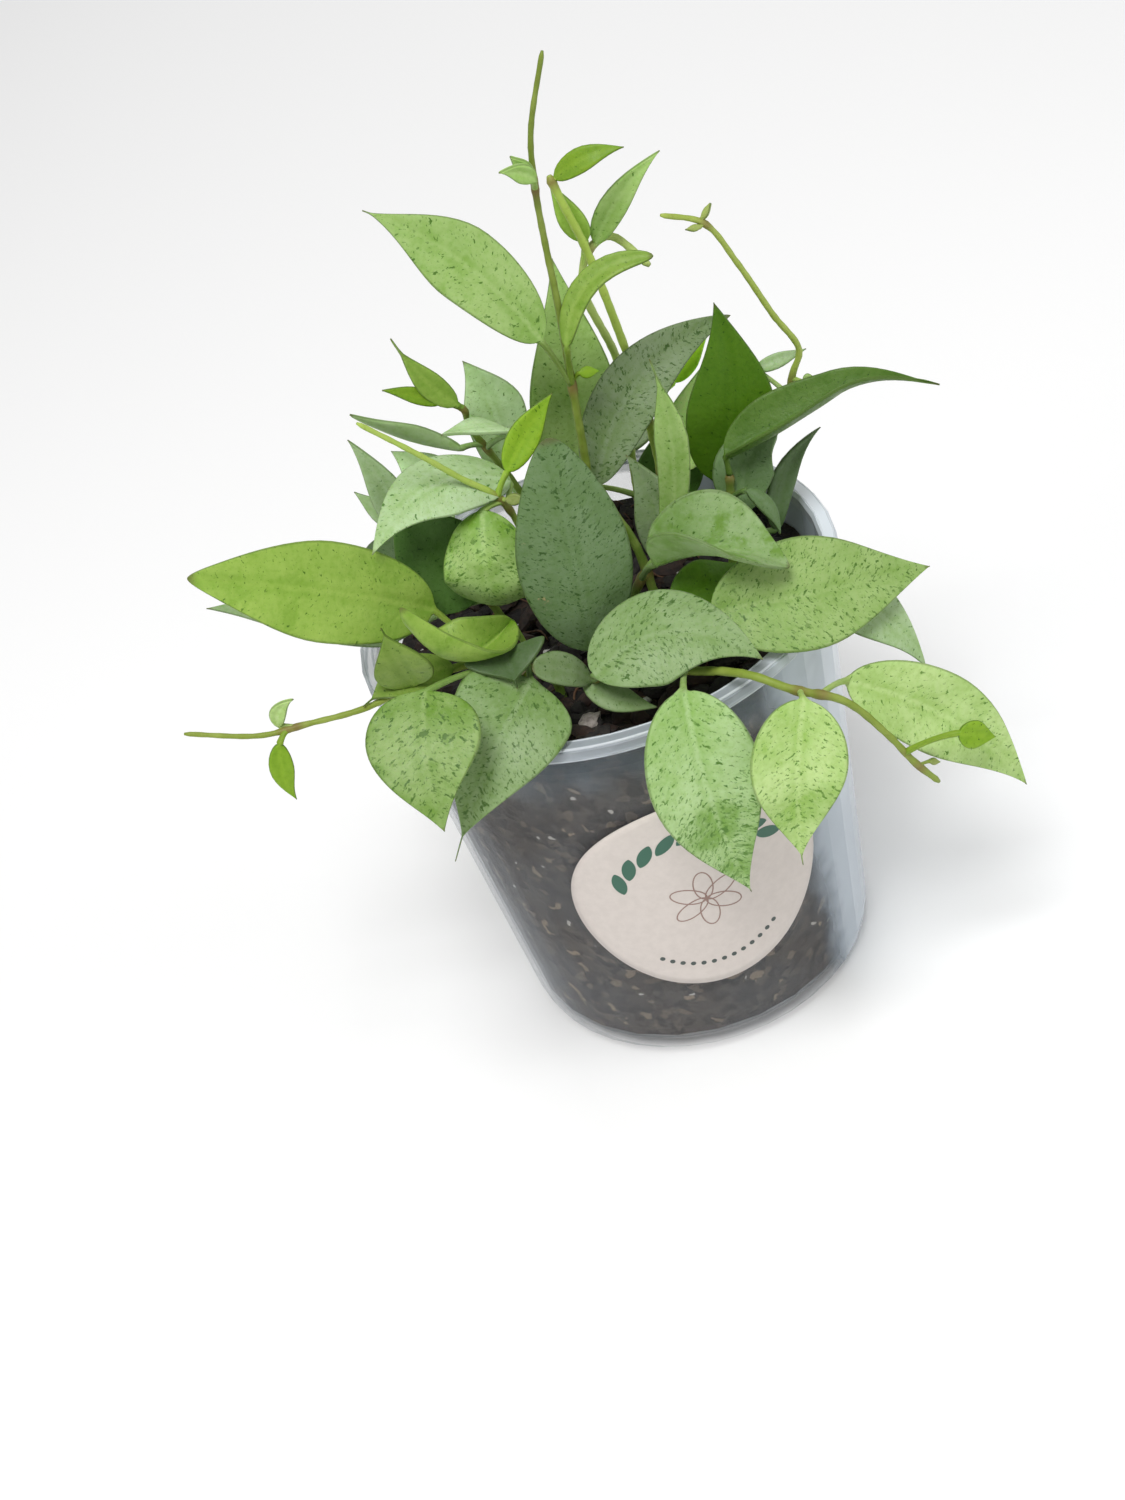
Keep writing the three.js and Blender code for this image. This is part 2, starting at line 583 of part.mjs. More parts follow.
// The potting mix: it fills the pot up to a lumpy top, and has a plain hole for each stem.
function soil() {
  const lump = (x, y) => {
    const broad = Math.sin(x * 0.31 + 1.3) * Math.cos(y * 0.27);
    return SOIL_LUMP * (broad + 0.5 * Math.sin(x * 0.7 - y * 0.6));
  };
  const ring = (radius, height) => {
    const loop = [];
    for (let j = 0; j < SOIL_SIDES; j++) {
      const turn = (j / SOIL_SIDES) * 2 * Math.PI;
      loop.push(new THREE.Vector3(radius * Math.cos(turn), radius * Math.sin(turn), height));
    }
    return loop;
  };
  const gap = WALL + SOIL_GAP;
  const loops = [
    ring(wallRadius(FOOT_ROUND) - gap - FOOT_CORNER - SOIL_GAP, GUTTER_RISE + FLOOR + SOIL_GAP),
    ring(wallRadius(FOOT_ROUND) - gap, FOOT_ROUND + 0.4),
  ];
  const topRadius = wallRadius(SOIL_TOP) - gap;
  for (let i = 0; i < SOIL_RINGS; i++) {
    const loop = ring(topRadius * (1 - i / SOIL_RINGS), SOIL_TOP);
    if (i > 0) for (const p of loop) p.z += lump(p.x, p.y);
    loops.push(loop);
  }
  let made = solidOf(skinOfLoops(loops));
  const holeFloor = SOIL_TOP - ROOT_DEPTH - 0.5;
  for (const { route, radii } of LEAFY_STEMS) {
    const [x, y] = route[0];
    made = made.subtract(drill(x, y, radii[0] + HOLE_GAP, HOLE_SIDES, holeFloor, SOIL_TOP + 10));
  }
  return made;
}

// The round sticker, wrapped on the front of the wall.
function sticker() {
  const onWall = (across, rise, lift) => {
    const height = STICKER_HEIGHT + rise;
    const radius = wallRadius(height) + lift;
    const turn = THREE.MathUtils.degToRad(-90 + STICKER_TURN) + across / wallRadius(STICKER_HEIGHT);
    return new THREE.Vector3(radius * Math.cos(turn), radius * Math.sin(turn), height);
  };
  const ring = (radius, lift) => {
    const loop = [];
    for (let j = 0; j < STICKER_SIDES; j++) {
      const turn = (j / STICKER_SIDES) * 2 * Math.PI;
      loop.push(onWall(radius * Math.cos(turn), radius * Math.sin(turn), lift));
    }
    return loop;
  };
  const back = STICKER_RINGS.map((radius) => ring(radius, STICKER_GAP));
  const front = STICKER_RINGS.map((radius) => ring(radius, STICKER_GAP + STICKER_THICK));
  return solidOf(skinOfLoops([...back, ...front.reverse()]));
}

const plant = new THREE.Group();
plant.add(meshOf("pot", geometryOf(pot()), COLOURS.pot));
plant.add(meshOf("soil", geometryOf(soil()), COLOURS.soil));
plant.add(meshOf("sticker", geometryOf(sticker()), COLOURS.sticker));
for (const stem of LEAFY_STEMS) {
  plant.add(meshOf(stem.name, geometryOf(leafyStem(stem)), COLOURS.leaf));
}

export default plant;
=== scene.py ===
import math
import random
from functools import partialmethod

import bpy
import numpy as np
from mathutils import Matrix, Vector, noise


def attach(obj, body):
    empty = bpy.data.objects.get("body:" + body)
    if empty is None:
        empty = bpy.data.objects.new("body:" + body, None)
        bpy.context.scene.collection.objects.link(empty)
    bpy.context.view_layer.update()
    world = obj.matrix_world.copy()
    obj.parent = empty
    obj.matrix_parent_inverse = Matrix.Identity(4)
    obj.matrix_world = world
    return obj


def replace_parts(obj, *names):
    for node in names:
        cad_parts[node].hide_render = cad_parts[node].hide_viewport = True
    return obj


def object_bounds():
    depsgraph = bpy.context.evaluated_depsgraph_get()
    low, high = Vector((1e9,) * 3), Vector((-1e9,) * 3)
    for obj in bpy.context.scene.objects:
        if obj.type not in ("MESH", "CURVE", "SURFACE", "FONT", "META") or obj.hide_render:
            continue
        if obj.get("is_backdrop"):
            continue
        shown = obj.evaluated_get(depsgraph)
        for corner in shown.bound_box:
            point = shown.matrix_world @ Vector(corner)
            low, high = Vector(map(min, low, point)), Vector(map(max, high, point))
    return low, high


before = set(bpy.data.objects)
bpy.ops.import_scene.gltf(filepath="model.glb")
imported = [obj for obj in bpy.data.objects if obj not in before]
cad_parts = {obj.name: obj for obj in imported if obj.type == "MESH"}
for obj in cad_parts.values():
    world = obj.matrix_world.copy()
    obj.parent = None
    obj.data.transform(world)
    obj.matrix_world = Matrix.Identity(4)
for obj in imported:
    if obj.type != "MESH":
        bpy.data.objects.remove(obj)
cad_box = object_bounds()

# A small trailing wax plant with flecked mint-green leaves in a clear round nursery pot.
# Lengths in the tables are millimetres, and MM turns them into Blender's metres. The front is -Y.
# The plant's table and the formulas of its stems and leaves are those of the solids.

MM = 0.001

# Camera: the angle that the photograph was taken from. Focal length and height are in its pixels.
FOCAL_PIXELS = 2250
IMAGE_HEIGHT = 1500
SENSOR = 36
CAMERA_TARGET = (-17.6, 0, 65.7)
CAMERA_DISTANCE = 502.7
CAMERA_ELEVATION = 38.1
CAMERA_ROLL = 19.1

# Pot and mix
WALL_TOP_RADIUS = 49.8
FOOT_RADIUS = 40.5
WALL_TOP = 100.6
SOIL_TOP = 94
SOIL_LUMP = 1.3
ROOT_DEPTH = 22
BARK_REACH = 46.5
FIBRE_REACH = 43
FIBRE_LIMIT = 45
FIBRE_STEP = 1.1
FIBRE_POINTS = 9
THREAD_SIDES = 7
# Beads along the lip, near white as painted highlight lines: name, radius, height and half thickness.
LIP_BEADS = [("lip_bead_top", 51.9, 103.75, 0.3), ("lip_bead_inner", 49.6, 103.85, 0.25),
             ("lip_bead_low", 51.9, 101.0, 0.35)]
# A pale root that loops out of the mix as half an ellipse, and a grey chip by the front rim.
ROOT_MIDDLE = (-18.8, -19.3)
ROOT_REACH = 5.2
ROOT_RISE = 10.3
ROOT_RADIUS = 0.55
GREY_CHIP = (-10.5, -33.5, 95.8)
GREY_CHIP_SIZE = 4.2

# Sticker and its print. Turns and spans are degrees.
STICKER_HEIGHT = 52.8
STICKER_TURN = 1.2
STICKER_RADIUS = 28.2
STICKER_GAP = 0.3
STICKER_FACE = 0.6
STICKER_RINGS = 14
STICKER_SIDES = 96
PRINT_LIFT = 0.04
GARLAND_RADIUS = 18.5
GARLAND_LEAVES = 9
GARLAND_SPAN = (152, 28)
GARLAND_LEAN = 58
GARLAND_LEAF = (6.6, 2.9)
PETALS = 6
PETAL_RADIUS = 4.1
PETAL_DROP = 1.5
PETAL_LINE = 0.28
PETAL_POINTS = 33
DOTS_RADIUS = 21.5
DOTS_SPAN = (232, 308)
DOTS = 13
DOT_RADIUS = 0.62

# Leaves
BLADE_MIDDLE = 1.3
BLADE_EDGE = 0.7
TIP_HALF_WIDTH = 0.45
STALK_RADIUS = 0.75
STALK_ARCH = 0.12
STALK_SHARES = (0, 0.12, 0.25, 0.4, 0.55, 0.7, 0.84, 0.95)
CURL_FROM = 0.6
RIB_REACH = 1.1
RIB_GROOVE = 0.28
RIB_KEEL = 0.2
# A leaf this wide gets the finer mesh. Its columns lie across the blade and its stations along it.
BIG_LEAF = 9
BIG_MESH = (17, 34)
SMALL_MESH = (9, 16)
# A blister's reach across and along the blade, and its noise's step from leaf to leaf.
BLISTER = (5.5, 6.5, 3.7)
# The skin's noise's step to the next leaf, and to a leaf's underside.
NEXT_LEAF = 40
NEXT_FACE = 17
# No scar and no fleck.
CLEAR = (0, 0, 0)

# Stems: their mesh, the swelling at each node, and their greens as 8-bit sRGB.
STEM_SIDES = 12
STEM_PITCH = 1.1
STEM_END = 0.55
CURVE_STEPS = 24
JOINT_STEPS = 300
NODE_REACH = 1.6
NODE_SWELL = 0.32
NODE_BROWN = (120, 96, 56)
STEM_GREEN = (98, 130, 46)
STEM_TINTS = {
    "stem_upright": (112, 134, 44), "stem_pale": (172, 202, 84), "stem_behind": (176, 200, 110),
    "stem_right_shoot": (156, 178, 76), "stem_left_shoot": (106, 142, 42), "stem_bud": (168, 196, 88),
    "runner_left": (128, 148, 52), "runner_right": (128, 150, 54),
}

# Leaf greens, as 8-bit sRGB, and how a leaf's paler clouds multiply its own green.
TONES = {
    "pale": (184, 214, 134), "mint": (172, 200, 146), "fresh": (150, 181, 104), "sage": (136, 162, 108),
    "sap": (140, 172, 72), "lime": (130, 168, 40), "leek": (84, 116, 44), "slate": (118, 138, 98),
    "moss": (90, 114, 73), "deep": (68, 104, 18), "shade": (60, 88, 38), "straw": (150, 166, 90),
}
PALER = (1.22, 1.14, 1.35)
# Layers of flecks: how fine their noise is across, along and from leaf to leaf, the height it has to reach
# and how dark the marks are.
FLECK_LAYERS = [((0.7, 0.95, 1), 0.65, 1), ((1.3, 1.6, 1), 0.652, 0.85)]
FLECK_SPREAD = 0.065

# The way that most leaves face.
FRONT = (0, -1, 0.5)
STEMS = []


def stem(name, radii, route, *leaves):
    STEMS.append((name, radii, route, leaves))


def leaf(name, joint, base, tip, width, facing, tone, lightness, flecks, blotch_and_base_shade, tip_shade=0, **form):
    return name, joint, base, tip, width, facing, tone, lightness, (flecks, blotch_and_base_shade, tip_shade), form


# Each stem has a name, its radii at its foot and end, its route up out of the mix and its leaves.
# Each leaf has a name, the place that it joins near, its blade's base and tip, its width, the way it faces,
# its tone, its lightness, how thickly its flecks lie, and how far it is greener in blotches and painted
# darker and greener at its base as shade.
# Tip shade is how far it is painted darker and greener towards its tip, as shade, and more flecked there.
# The rest is the blade's form.
# Some lightnesses are painted light: they raise a leaf's green where the leaf lies in shade or is lit from
# behind.
stem("stem_upright", (1.15, 0.5), [(3, 4, 98), (4, 1, 116), (6, 0, 133), (8, 0, 152), (10, 0, 171),
     (11, 0, 184), (12, -1, 195), (14, -2, 206), (20, -4, 221)],
    leaf("broad_left", (8, 0, 152), (4.4, -4, 166.3), (-20, 4, 200), 14.6, (0.1, -1, 0.5),
        "fresh", 0.95, 0.55, 0.4, bow=2, sweep=2.9, cup=10, widest=0.5, full=-0.2, wave=0.3),
    leaf("curled_right", (8, 0, 152), (9, -4, 163), (30, -3, 175), 5.5, (-0.5, -0.7, 0.7),
        "sap", 0.84, 0.05, 0.5, bow=2, sweep=-5, cup=15, full=1),
    leaf("bud_low", (8, 0, 153), (10, -1, 155), (14, -1, 154), 2.5, FRONT, "lime", 0.87, 0, 0.2),
    leaf("pair_left", (12, -1, 195), (12, -4, 198), (6, -7, 203), 4, (-0.3, -1, 0.3),
        "fresh", 1.2, 0, 0.2, sweep=1, cup=20),
    leaf("pair_up", (12, -1, 197), (12, -3, 199), (9, -4, 204), 3, (-0.3, -1, 0.3),
        "fresh", 1.25, 0, 0.2, cup=20))
stem("stem_pale", (1, 0.8), [(21, 14, 98), (22, 13, 126), (22, 13, 139), (21, 12, 155), (19, 10, 175),
     (17, 9, 186), (16, 9, 192)],
    leaf("young_right", (16, 9, 191), (17, 9, 191), (31, 6, 194), 5, (-0.1, -0.8, 0.6),
        "lime", 0.82, 0.05, 0.3, bow=1, sweep=-1, cup=10),
    # Painted light: its lightness is raised, as the light that shines through it from behind.
    leaf("bright_small", (22, 13, 132), (30, 18, 135), (39, 18, 142.5), 4.2, FRONT,
        "lime", 2.3, 0, 0, cup=10),
    # Painted light: its lightness is raised against the shade that it lies in.
    leaf("hidden_grey", (22, 13, 118), (27, 14, 116), (37, 16, 138), 11, FRONT,
        "pale", 1.6, 0.2, 0.2, bow=1, sweep=-1, cup=8))
stem("stem_behind", (1, 0.8), [(16, 26, 98), (18, 25, 120), (20, 21, 142), (17, 16, 164), (20, 16, 171),
     (25, 17, 172), (31, 15, 164)],
    # Painted light: its lightness is raised against the deep shade that it lies in.
    leaf("shade_back", (16, 26, 103), (21, 21, 104), (29, 20, 128), 15, (0, -1, 0.4),
        "shade", 2, 0.1, 0.1, bow=1, cup=8),
    # Painted light: its lightness is raised against the shade of the leaves in front.
    leaf("tall_back", (16, 25, 106), (4, 20, 117), (13, 22, 169), 19, (0, -1, 0.4),
        "fresh", 1.17, 0.45, 0.4, bow=2, sweep=1, cup=10),
    leaf("young_dark", (17, 16, 164), (20, 15, 174), (16, 13, 189), 5.5, (-0.2, -1, 0.3),
        "sap", 1.45, 0, 0.3, bow=1, cup=15),
    leaf("young_bright", (20, 16, 171), (22, 16, 172), (38, 10, 189), 6, (0.2, -1, 0.4),
        "fresh", 1.25, 0.05, 0.2, bow=1, sweep=-2, cup=15))
stem("stem_right_shoot", (0.9, 0.55), [(33, 17, 98), (44, 15, 116), (51, 9, 128), (53, 6, 135),
     (55, 5, 140), (51, 3, 151), (46, 0, 166), (41, -3, 178), (33, -6, 184)],
    leaf("dark_tall", (36, 17, 103), (32, 8, 115), (41, 10, 154), 19, (-0.2, -1, 0.3),
        "deep", 1.3, 0.02, 0.1, bow=2, sweep=3.5, cup=10),
    leaf("stub_left", (51, 9, 129), (46, 10, 136), (57, 8, 138), 3.3, (0, -0.8, 0.6),
        "mint", 0.95, 0, 0, cup=10),
    leaf("stub_right", (53, 6, 133), (54, 4, 133), (57, 3, 133), 3.5, (0, -0.8, 0.6),
        "fresh", 0.9, 0, 0, cup=20),
    leaf("hook_left", (41, -3, 178), (40, -4, 178), (37, -5, 179), 1.4, (0, -0.8, 0.6),
        "straw", 0.95, 0, 0),
    leaf("hook_right", (41, -3, 178), (41, -3, 179), (43, -4, 182), 1.4, (-0.8, -0.5, 0.6),
        "straw", 1.1, 0, 0))
stem("stem_left_shoot", (1, 0.6), [(-6, 14, 98), (-8, 11, 125), (-14, 8, 147), (-14, 6, 152),
     (-18, 5, 156)],
    leaf("young_high", (-14, 6, 152), (-15, 5, 154), (-23, 2, 174), 5.5, FRONT,
        "sap", 1, 0, 0.2, sweep=-1, cup=15, widest=0.34, full=-0.8),
    leaf("young_low", (-17, 5, 155), (-18, 4, 156), (-28, 2, 164), 3.5, FRONT,
        "lime", 0.85, 0, 0.2, sweep=0.5, cup=15),
    # Painted light: its lightness is raised against the shade that it lies in.
    leaf("round_back", (-7, 12, 118), (-11, 16, 130), (-11, 12, 159), 13, FRONT,
        "mint", 1.35, 0.3, 0.2, bow=1, sweep=3, cup=8, widest=0.55),
    leaf("flat_back", (-12, 9, 140), (-6, 4, 144), (-20, -3, 153), 12, (-0.2, -0.1, 1),
        "mint", 1.05, 0.15, 0.1, bow=2, sweep=-2, cup=5),
    leaf("folded_left", (-12, 9, 141), (-17, 7, 143), (-36, 10, 157), 8, (0.2, 0.8, 0.7),
        "sage", 1.3, 0, 0.3, bow=1, sweep=4, cup=15))
stem("stem_bud", (0.95, 0.5), [(-8, -6, 98), (-10, -9, 120), (-13, -15, 142), (-19, -16, 150),
     (-25, -18, 159), (-34, -20, 171)],
    leaf("bright_bud", (-13, -15, 143), (-10, -16, 148), (3, -14, 160), 6.5, (-0.2, -1, 0.3),
        "lime", 1, 0.05, 0.2, bow=-1, sweep=-0.5, cup=12),
    leaf("drooping_pale", (-12, -14, 139), (-10, -12, 143), (-40, -24, 145), 15, (-0.2, -0.6, 1),
        "mint", 0.9, 0.5, 0.25, bow=4, sweep=5, cup=-8),
    leaf("blistered", (-13, -15, 141), (-17, -17, 142), (-22, -24, 122), 18, (-0.2, -1, 0.6),
        "fresh", 1, 1.3, 1, bow=3, cup=-15, curl=9, widest=0.5, full=1.6, blister=1.9),
    # Painted light: its lightness is raised against the shadows of the leaves about it.
    leaf("shaded_round", (-9, -8, 110), (-24, -13, 120), (-34, -8, 146), 20, FRONT,
        "shade", 1.9, 0.4, 0.3, bow=2, cup=10),
    leaf("node_bit", (-13, -15, 142), (-12, -16, 142), (-8, -18, 142), 2.5, FRONT,
        "straw", 0.75, 0, 0, cup=10))
stem("stem_left", (1, 0.8), [(-20, 4, 98), (-23, 4, 112), (-28, 6, 124)],
    leaf("grey_point", (-28, 6, 123), (-34, 5, 128), (-38, 4, 155), 8, (-0.2, -1, 0.5),
        "mint", 0.82, 0.1, 0.1, bow=1, sweep=2, cup=15),
    leaf("grey_low", (-28, 6, 123), (-34, 10, 128), (-41, 13, 138), 5, (-0.2, -0.8, 0.8),
        "mint", 0.75, 0, 0.1, bow=1, cup=15),
    leaf("pale_behind", (-25, 5, 118), (-23, 14, 127), (-31, 17, 142), 11, (-0.1, -0.8, 0.8),
        "mint", 1.25, 0.05, 0, bow=1, sweep=1, cup=10),
    leaf("under_left", (-22, 4, 108), (-42, -2, 110), (-76, -8, 136), 11, (-0.1, -0.7, 0.9),
        "mint", 0.72, 0, 0.1, bow=1, sweep=1.5, cup=10))
stem("runner_left", (1, 0.5), [(-20, -14, 98), (-24, -19, 108), (-32, -25, 114), (-40, -28, 116),
     (-52, -32, 117), (-64, -32, 118), (-73, -32, 119), (-87, -30, 124)],
    leaf("long_left", (-26, -21, 110), (-33, -20, 126), (-74, -28, 156), 20, (0, -1, 0.6),
        "sap", 1, 0.2, 0.4, bow=3, sweep=1, cup=8, widest=0.48, full=0.3),
    leaf("horned", (-28, -23, 112), (-33, -26, 115), (-52, -33, 118.3), 9, (-0.2, -0.7, 0.9),
        "sap", 0.68, 0.15, 0.4, bow=1, sweep=1.5, cup=10, widest=0.5, full=-0.6),
    leaf("horn", (-40, -28, 116), (-41, -31, 118), (-43, -34, 135), 12, (-0.2, -0.8, 0.6),
        "sap", 0.7, 0.1, 0.5, bow=1, cup=10, widest=0.34, full=-0.4),
    leaf("node_fold", (-66, -32, 118), (-69, -31, 119), (-64, -34, 126), 3.5, (0, -1, 0.4),
        "pale", 0.9, 0, 0.1, sweep=-1.5, cup=20),
    leaf("node_drop", (-68, -32, 118), (-70, -34, 117), (-71, -37, 105), 5, (0, -1, 0.4),
        "lime", 0.87, 0, 0.2, sweep=1, cup=10))
stem("stem_front_left", (1.1, 0.9), [(-14, -20, 98), (-16, -24, 106), (-20, -27, 111)],
    leaf("boat", (-17, -25, 107), (-19, -24, 120), (-38, -34, 138), 16, (0.1, -0.4, 0.9),
        "sap", 0.9, 0.15, 0.8, bow=-5, sweep=-7, cup=55, cup_tip=30, twist=100, full=0.3),
    leaf("spike", (-15, -22, 102), (-22, -32, 119), (-22, -41, 116), 17, (0, -0.3, 1),
        "moss", 0.8, 0, 0.2, cup=12, widest=0.12, full=-0.6),
    leaf("rim_left", (-20, -27, 111), (-39, -42, 123), (-44, -62, 105), 23, (-0.2, -1, 0.4),
        "fresh", 0.78, 1, 1, tip_shade=0.2, bow=3, sweep=1, cup=6, widest=0.33, blister=0.5, wave=1),
    leaf("rim_left_long", (-19, -26, 109), (-19, -36, 113), (-45, -51, 88), 24, (-0.1, -0.9, 0.6),
        "sage", 0.96, 1.1, 0.5, tip_shade=0.3, bow=8, sweep=1, cup=5, widest=0.16, full=-0.5, wave=0.7))
stem("stem_centre", (1.1, 0.9), [(2, -14, 98), (5, -16, 108), (10, -19, 117)],
    leaf("broad_dark", (3, -15, 102), (-5, -26, 108), (-1, -26, 158), 23, (0, -1, 0.25),
        "moss", 1.32, 0.9, 0.2, tip_shade=0.2, bow=2, cup=-8, widest=0.45, full=0.6),
    leaf("upright_narrow", (10, -19, 117), (15, -18, 120), (23, -12, 159), 7, (-0.3, -1, 0.2),
        "fresh", 0.88, 0.1, 0.5, bow=1, sweep=3.5, cup=15, widest=0.6, full=-0.8),
    leaf("cupped", (9, -18, 115), (12, -28, 124), (36, -38, 120), 24, (0, -0.15, 1),
        "sage", 1.08, 0.25, 1, bow=4, cup=84, cup_tip=15, full=0.2, blister=0.6))
stem("stem_middle", (1.1, 0.9), [(12, 0, 98), (11, 0, 112), (8, 1, 122)],
    leaf("slate_right", (8, 1, 121), (7, 3, 126.6), (44.3, 14, 147.8), 13.8, (-0.3, -1, 0.3),
        "slate", 1.08, 1.2, 0.3, bow=3.2, sweep=-6.8, cup=8, full=0.2),
    leaf("slate_small", (12, 0, 104), (15, -6, 109), (14, -5, 136), 11, (-0.2, -1, 0.3),
        "slate", 1.25, 0.5, 0.1, bow=1, sweep=3, cup=8))
stem("stem_right", (1.1, 0.9), [(30, 0, 98), (32, -1, 110), (34, -1, 121)],
    leaf("long_right", (34, -1, 121), (34, -2, 126), (74, -8, 141.5), 14.5, (0, -0.2, 1),
        "leek", 1.05, 0.05, 0.4, bow=-1.4, cup=45, curl=15, widest=0.3, full=-0.2, wave=0.3),
    leaf("slate_edge", (32, 0, 107), (36, -1, 111), (49, 1.5, 127), 13, FRONT,
        "moss", 1.75, 0.1, 0.1, bow=1, sweep=-5, cup=10),
    leaf("dark_edge", (31, 0, 104), (41, 0, 103), (56, 6, 120), 6, (0.2, -1, 0.3),
        "moss", 1.1, 0, 0.1, bow=1, sweep=-4, cup=15),
    leaf("under_cup", (33, -1, 115), (36, -6, 119), (40, -9, 108), 4, (0.3, -0.5, 1),
        "moss", 1.25, 0.1, 0.1, bow=1, sweep=-1))
stem("stem_right_low", (1.1, 0.9), [(16, -18, 98), (17, -24, 105), (17, -28, 110)],
    leaf("broad_right", (17, -28, 110), (19, -36, 114), (64, -34, 106), 23, (0, -0.9, 0.8),
        "fresh", 0.87, 1.1, 0.3, bow=3, sweep=0.5, cup=8),
    leaf("under_right", (17, -26, 107), (36, -30, 112), (58, -39, 86), 13, (0.3, -0.7, 0.7),
        "mint", 0.9, 0.3, 0.1, bow=5, sweep=-2),
    leaf("shade_right", (17, -22, 102), (13, -24, 112), (30, -20, 112), 12, (0, -1, 0.6),
        "deep", 1.45, 0.2, 0.1, bow=1, sweep=1, cup=5))
stem("stem_front", (1.1, 0.9), [(-4, -24, 98), (-5, -30, 104), (-7, -37, 109)],
    leaf("rim_round", (-7, -37, 109), (-7, -40, 112), (25, -49, 109), 21, (0, -0.5, 1),
        "sage", 0.98, 1.2, 0.3, bow=4, sweep=-6, cup=-6, blister=0.4),
    leaf("tucked", (-5, -31, 105), (-9, -35, 108), (3, -42, 101), 6.5, (0, -0.5, 1),
        "sage", 0.88, 0.3, 0.3, sweep=1),
    leaf("short_fold", (-6, -34, 107), (-8, -36, 108), (-18, -38, 117), 7, (0.2, -0.7, 0.8),
        "sage", 0.63, 0.4, 0.2, bow=1, sweep=1, cup=8, widest=0.6, full=1))
stem("runner_right", (1.1, 0.65), [(8, -24, 98), (9, -32, 103), (12, -41, 106), (17, -47, 108),
     (22, -53, 109), (28, -57, 106), (37, -58, 100), (44, -58, 88), (48, -58, 79), (52, -58, 72)],
    leaf("rim_front", (11, -39, 105), (8, -54, 112), (9, -64, 66), 23, (0.1, -1, 0.3),
        "sage", 1.5, 0.9, 0.4, tip_shade=1, bow=4, sweep=2.5, cup=8, widest=0.35, full=-0.1),
    leaf("hanging_pale", (29, -57, 105), (29, -61, 106), (20, -68, 72), 19.5, (0, -1, 0.4),
        "pale", 0.9, 0.8, 0.6, tip_shade=0.5, bow=2, sweep=1.5, cup=8, widest=0.35, full=-0.3),
    leaf("long_low", (33, -58, 103), (40, -50, 98), (71, -52, 58), 17, (0.1, -1, 0.5),
        "pale", 0.89, 0.5, 0.2, tip_shade=0.2, bow=3, sweep=-3.5, cup=6),
    leaf("round_tip", (48, -58, 83), (57, -62, 86), (64, -62, 82), 6, (0, -1, 0.4),
        "lime", 0.92, 0.05, 0.2, cup=5),
    leaf("claw", (49, -58, 78), (51, -58, 78), (53, -58, 77), 1.5, (0, -1, 0.4), "straw", 0.8, 0, 0))
stem("stem_rear_left", (1.1, 0.9), [(-16, 24, 98), (-20, 28, 106), (-26, 31, 113)],
    leaf("rear_left_a", (-26, 31, 113), (-28, 35, 114), (-38, 62, 99), 18, (-0.2, 0.5, 1),
        "fresh", 0.9, 0.6, 0.4, bow=5, cup=8),
    leaf("rear_left_b", (-20, 28, 106), (-14, 38, 111), (-16, 69, 95), 17, (0, 0.5, 1),
        "sage", 0.95, 0.7, 0.3, bow=6, cup=8),
    leaf("rear_left_c", (-22, 29, 108), (-32, 23, 111), (-53, 32, 97), 18, (-0.5, 0, 1),
        "moss", 0.75, 0.5, 0.3, bow=5, cup=8))
stem("stem_rear", (1.1, 0.9), [(0, 32, 98), (2, 36, 106), (4, 38, 113)],
    leaf("rear_a", (4, 38, 113), (5, 42, 115), (3, 73, 95), 18, (0, 0.6, 1),
        "fresh", 1, 0.6, 0.3, bow=6, cup=8),
    leaf("rear_b", (2, 36, 107), (18, 38, 110), (22, 69, 92), 17, (0.2, 0.5, 1),
        "sage", 0.85, 0.7, 0.1, bow=5, cup=8))
stem("stem_rear_right", (1.1, 0.9), [(26, 26, 98), (30, 28, 105), (34, 30, 110)],
    leaf("rear_right_a", (31, 29, 106), (37, 34, 109), (51, 49, 89), 16, (0.5, 0.4, 1),
        "sage", 0.9, 0.6, 0.3, bow=4, cup=5),
    leaf("rear_right_b", (34, 30, 110), (31, 37, 113), (37, 62, 94), 16, (0.2, 0.5, 1),
        "fresh", 0.95, 0.5, 0.4, bow=5, cup=8))

# Marks on single leaves: a place across and along the blade, a reach and a kind.
SCARS = {
    "broad_dark": [(-8.5, 0.6, 0.8, "cork"), (-7.6, 0.29, 1.0, "cork"), (-0.8, 0.79, 0.6, "dark"),
                   (5, 0.55, 0.6, "dark")],
    "rim_left": [(-0.2, 0.32, 0.9, "dark"), (-5.1, 0.37, 0.9, "dark"), (3.5, 0.36, 0.6, "dark"),
                 (1.4, 0.27, 0.6, "dark"), (-6.5, 0.56, 0.6, "dark")],
    "rim_left_long": [(-4.9, 0.24, 0.7, "dark")],
}


def linear(colour):
    """An 8-bit sRGB colour as linear red, green and blue."""
    shares = [c / 255 for c in colour]
    return tuple(c / 12.92 if c <= 0.04045 else ((c + 0.055) / 1.055) ** 2.4 for c in shares)


def paint(colour):
    return (*linear(colour), 1)


def wall_radius(height):
    return FOOT_RADIUS + (WALL_TOP_RADIUS - FOOT_RADIUS) * height / WALL_TOP


def soil_height(x, y):
    lump = math.sin(x * 0.31 + 1.3) * math.cos(y * 0.27) + 0.5 * math.sin(x * 0.7 - y * 0.6)
    return SOIL_TOP + SOIL_LUMP * lump


def add_object(name, data):
    made = bpy.data.objects.new(name, data)
    scene.collection.objects.link(made)
    return made


# Camera

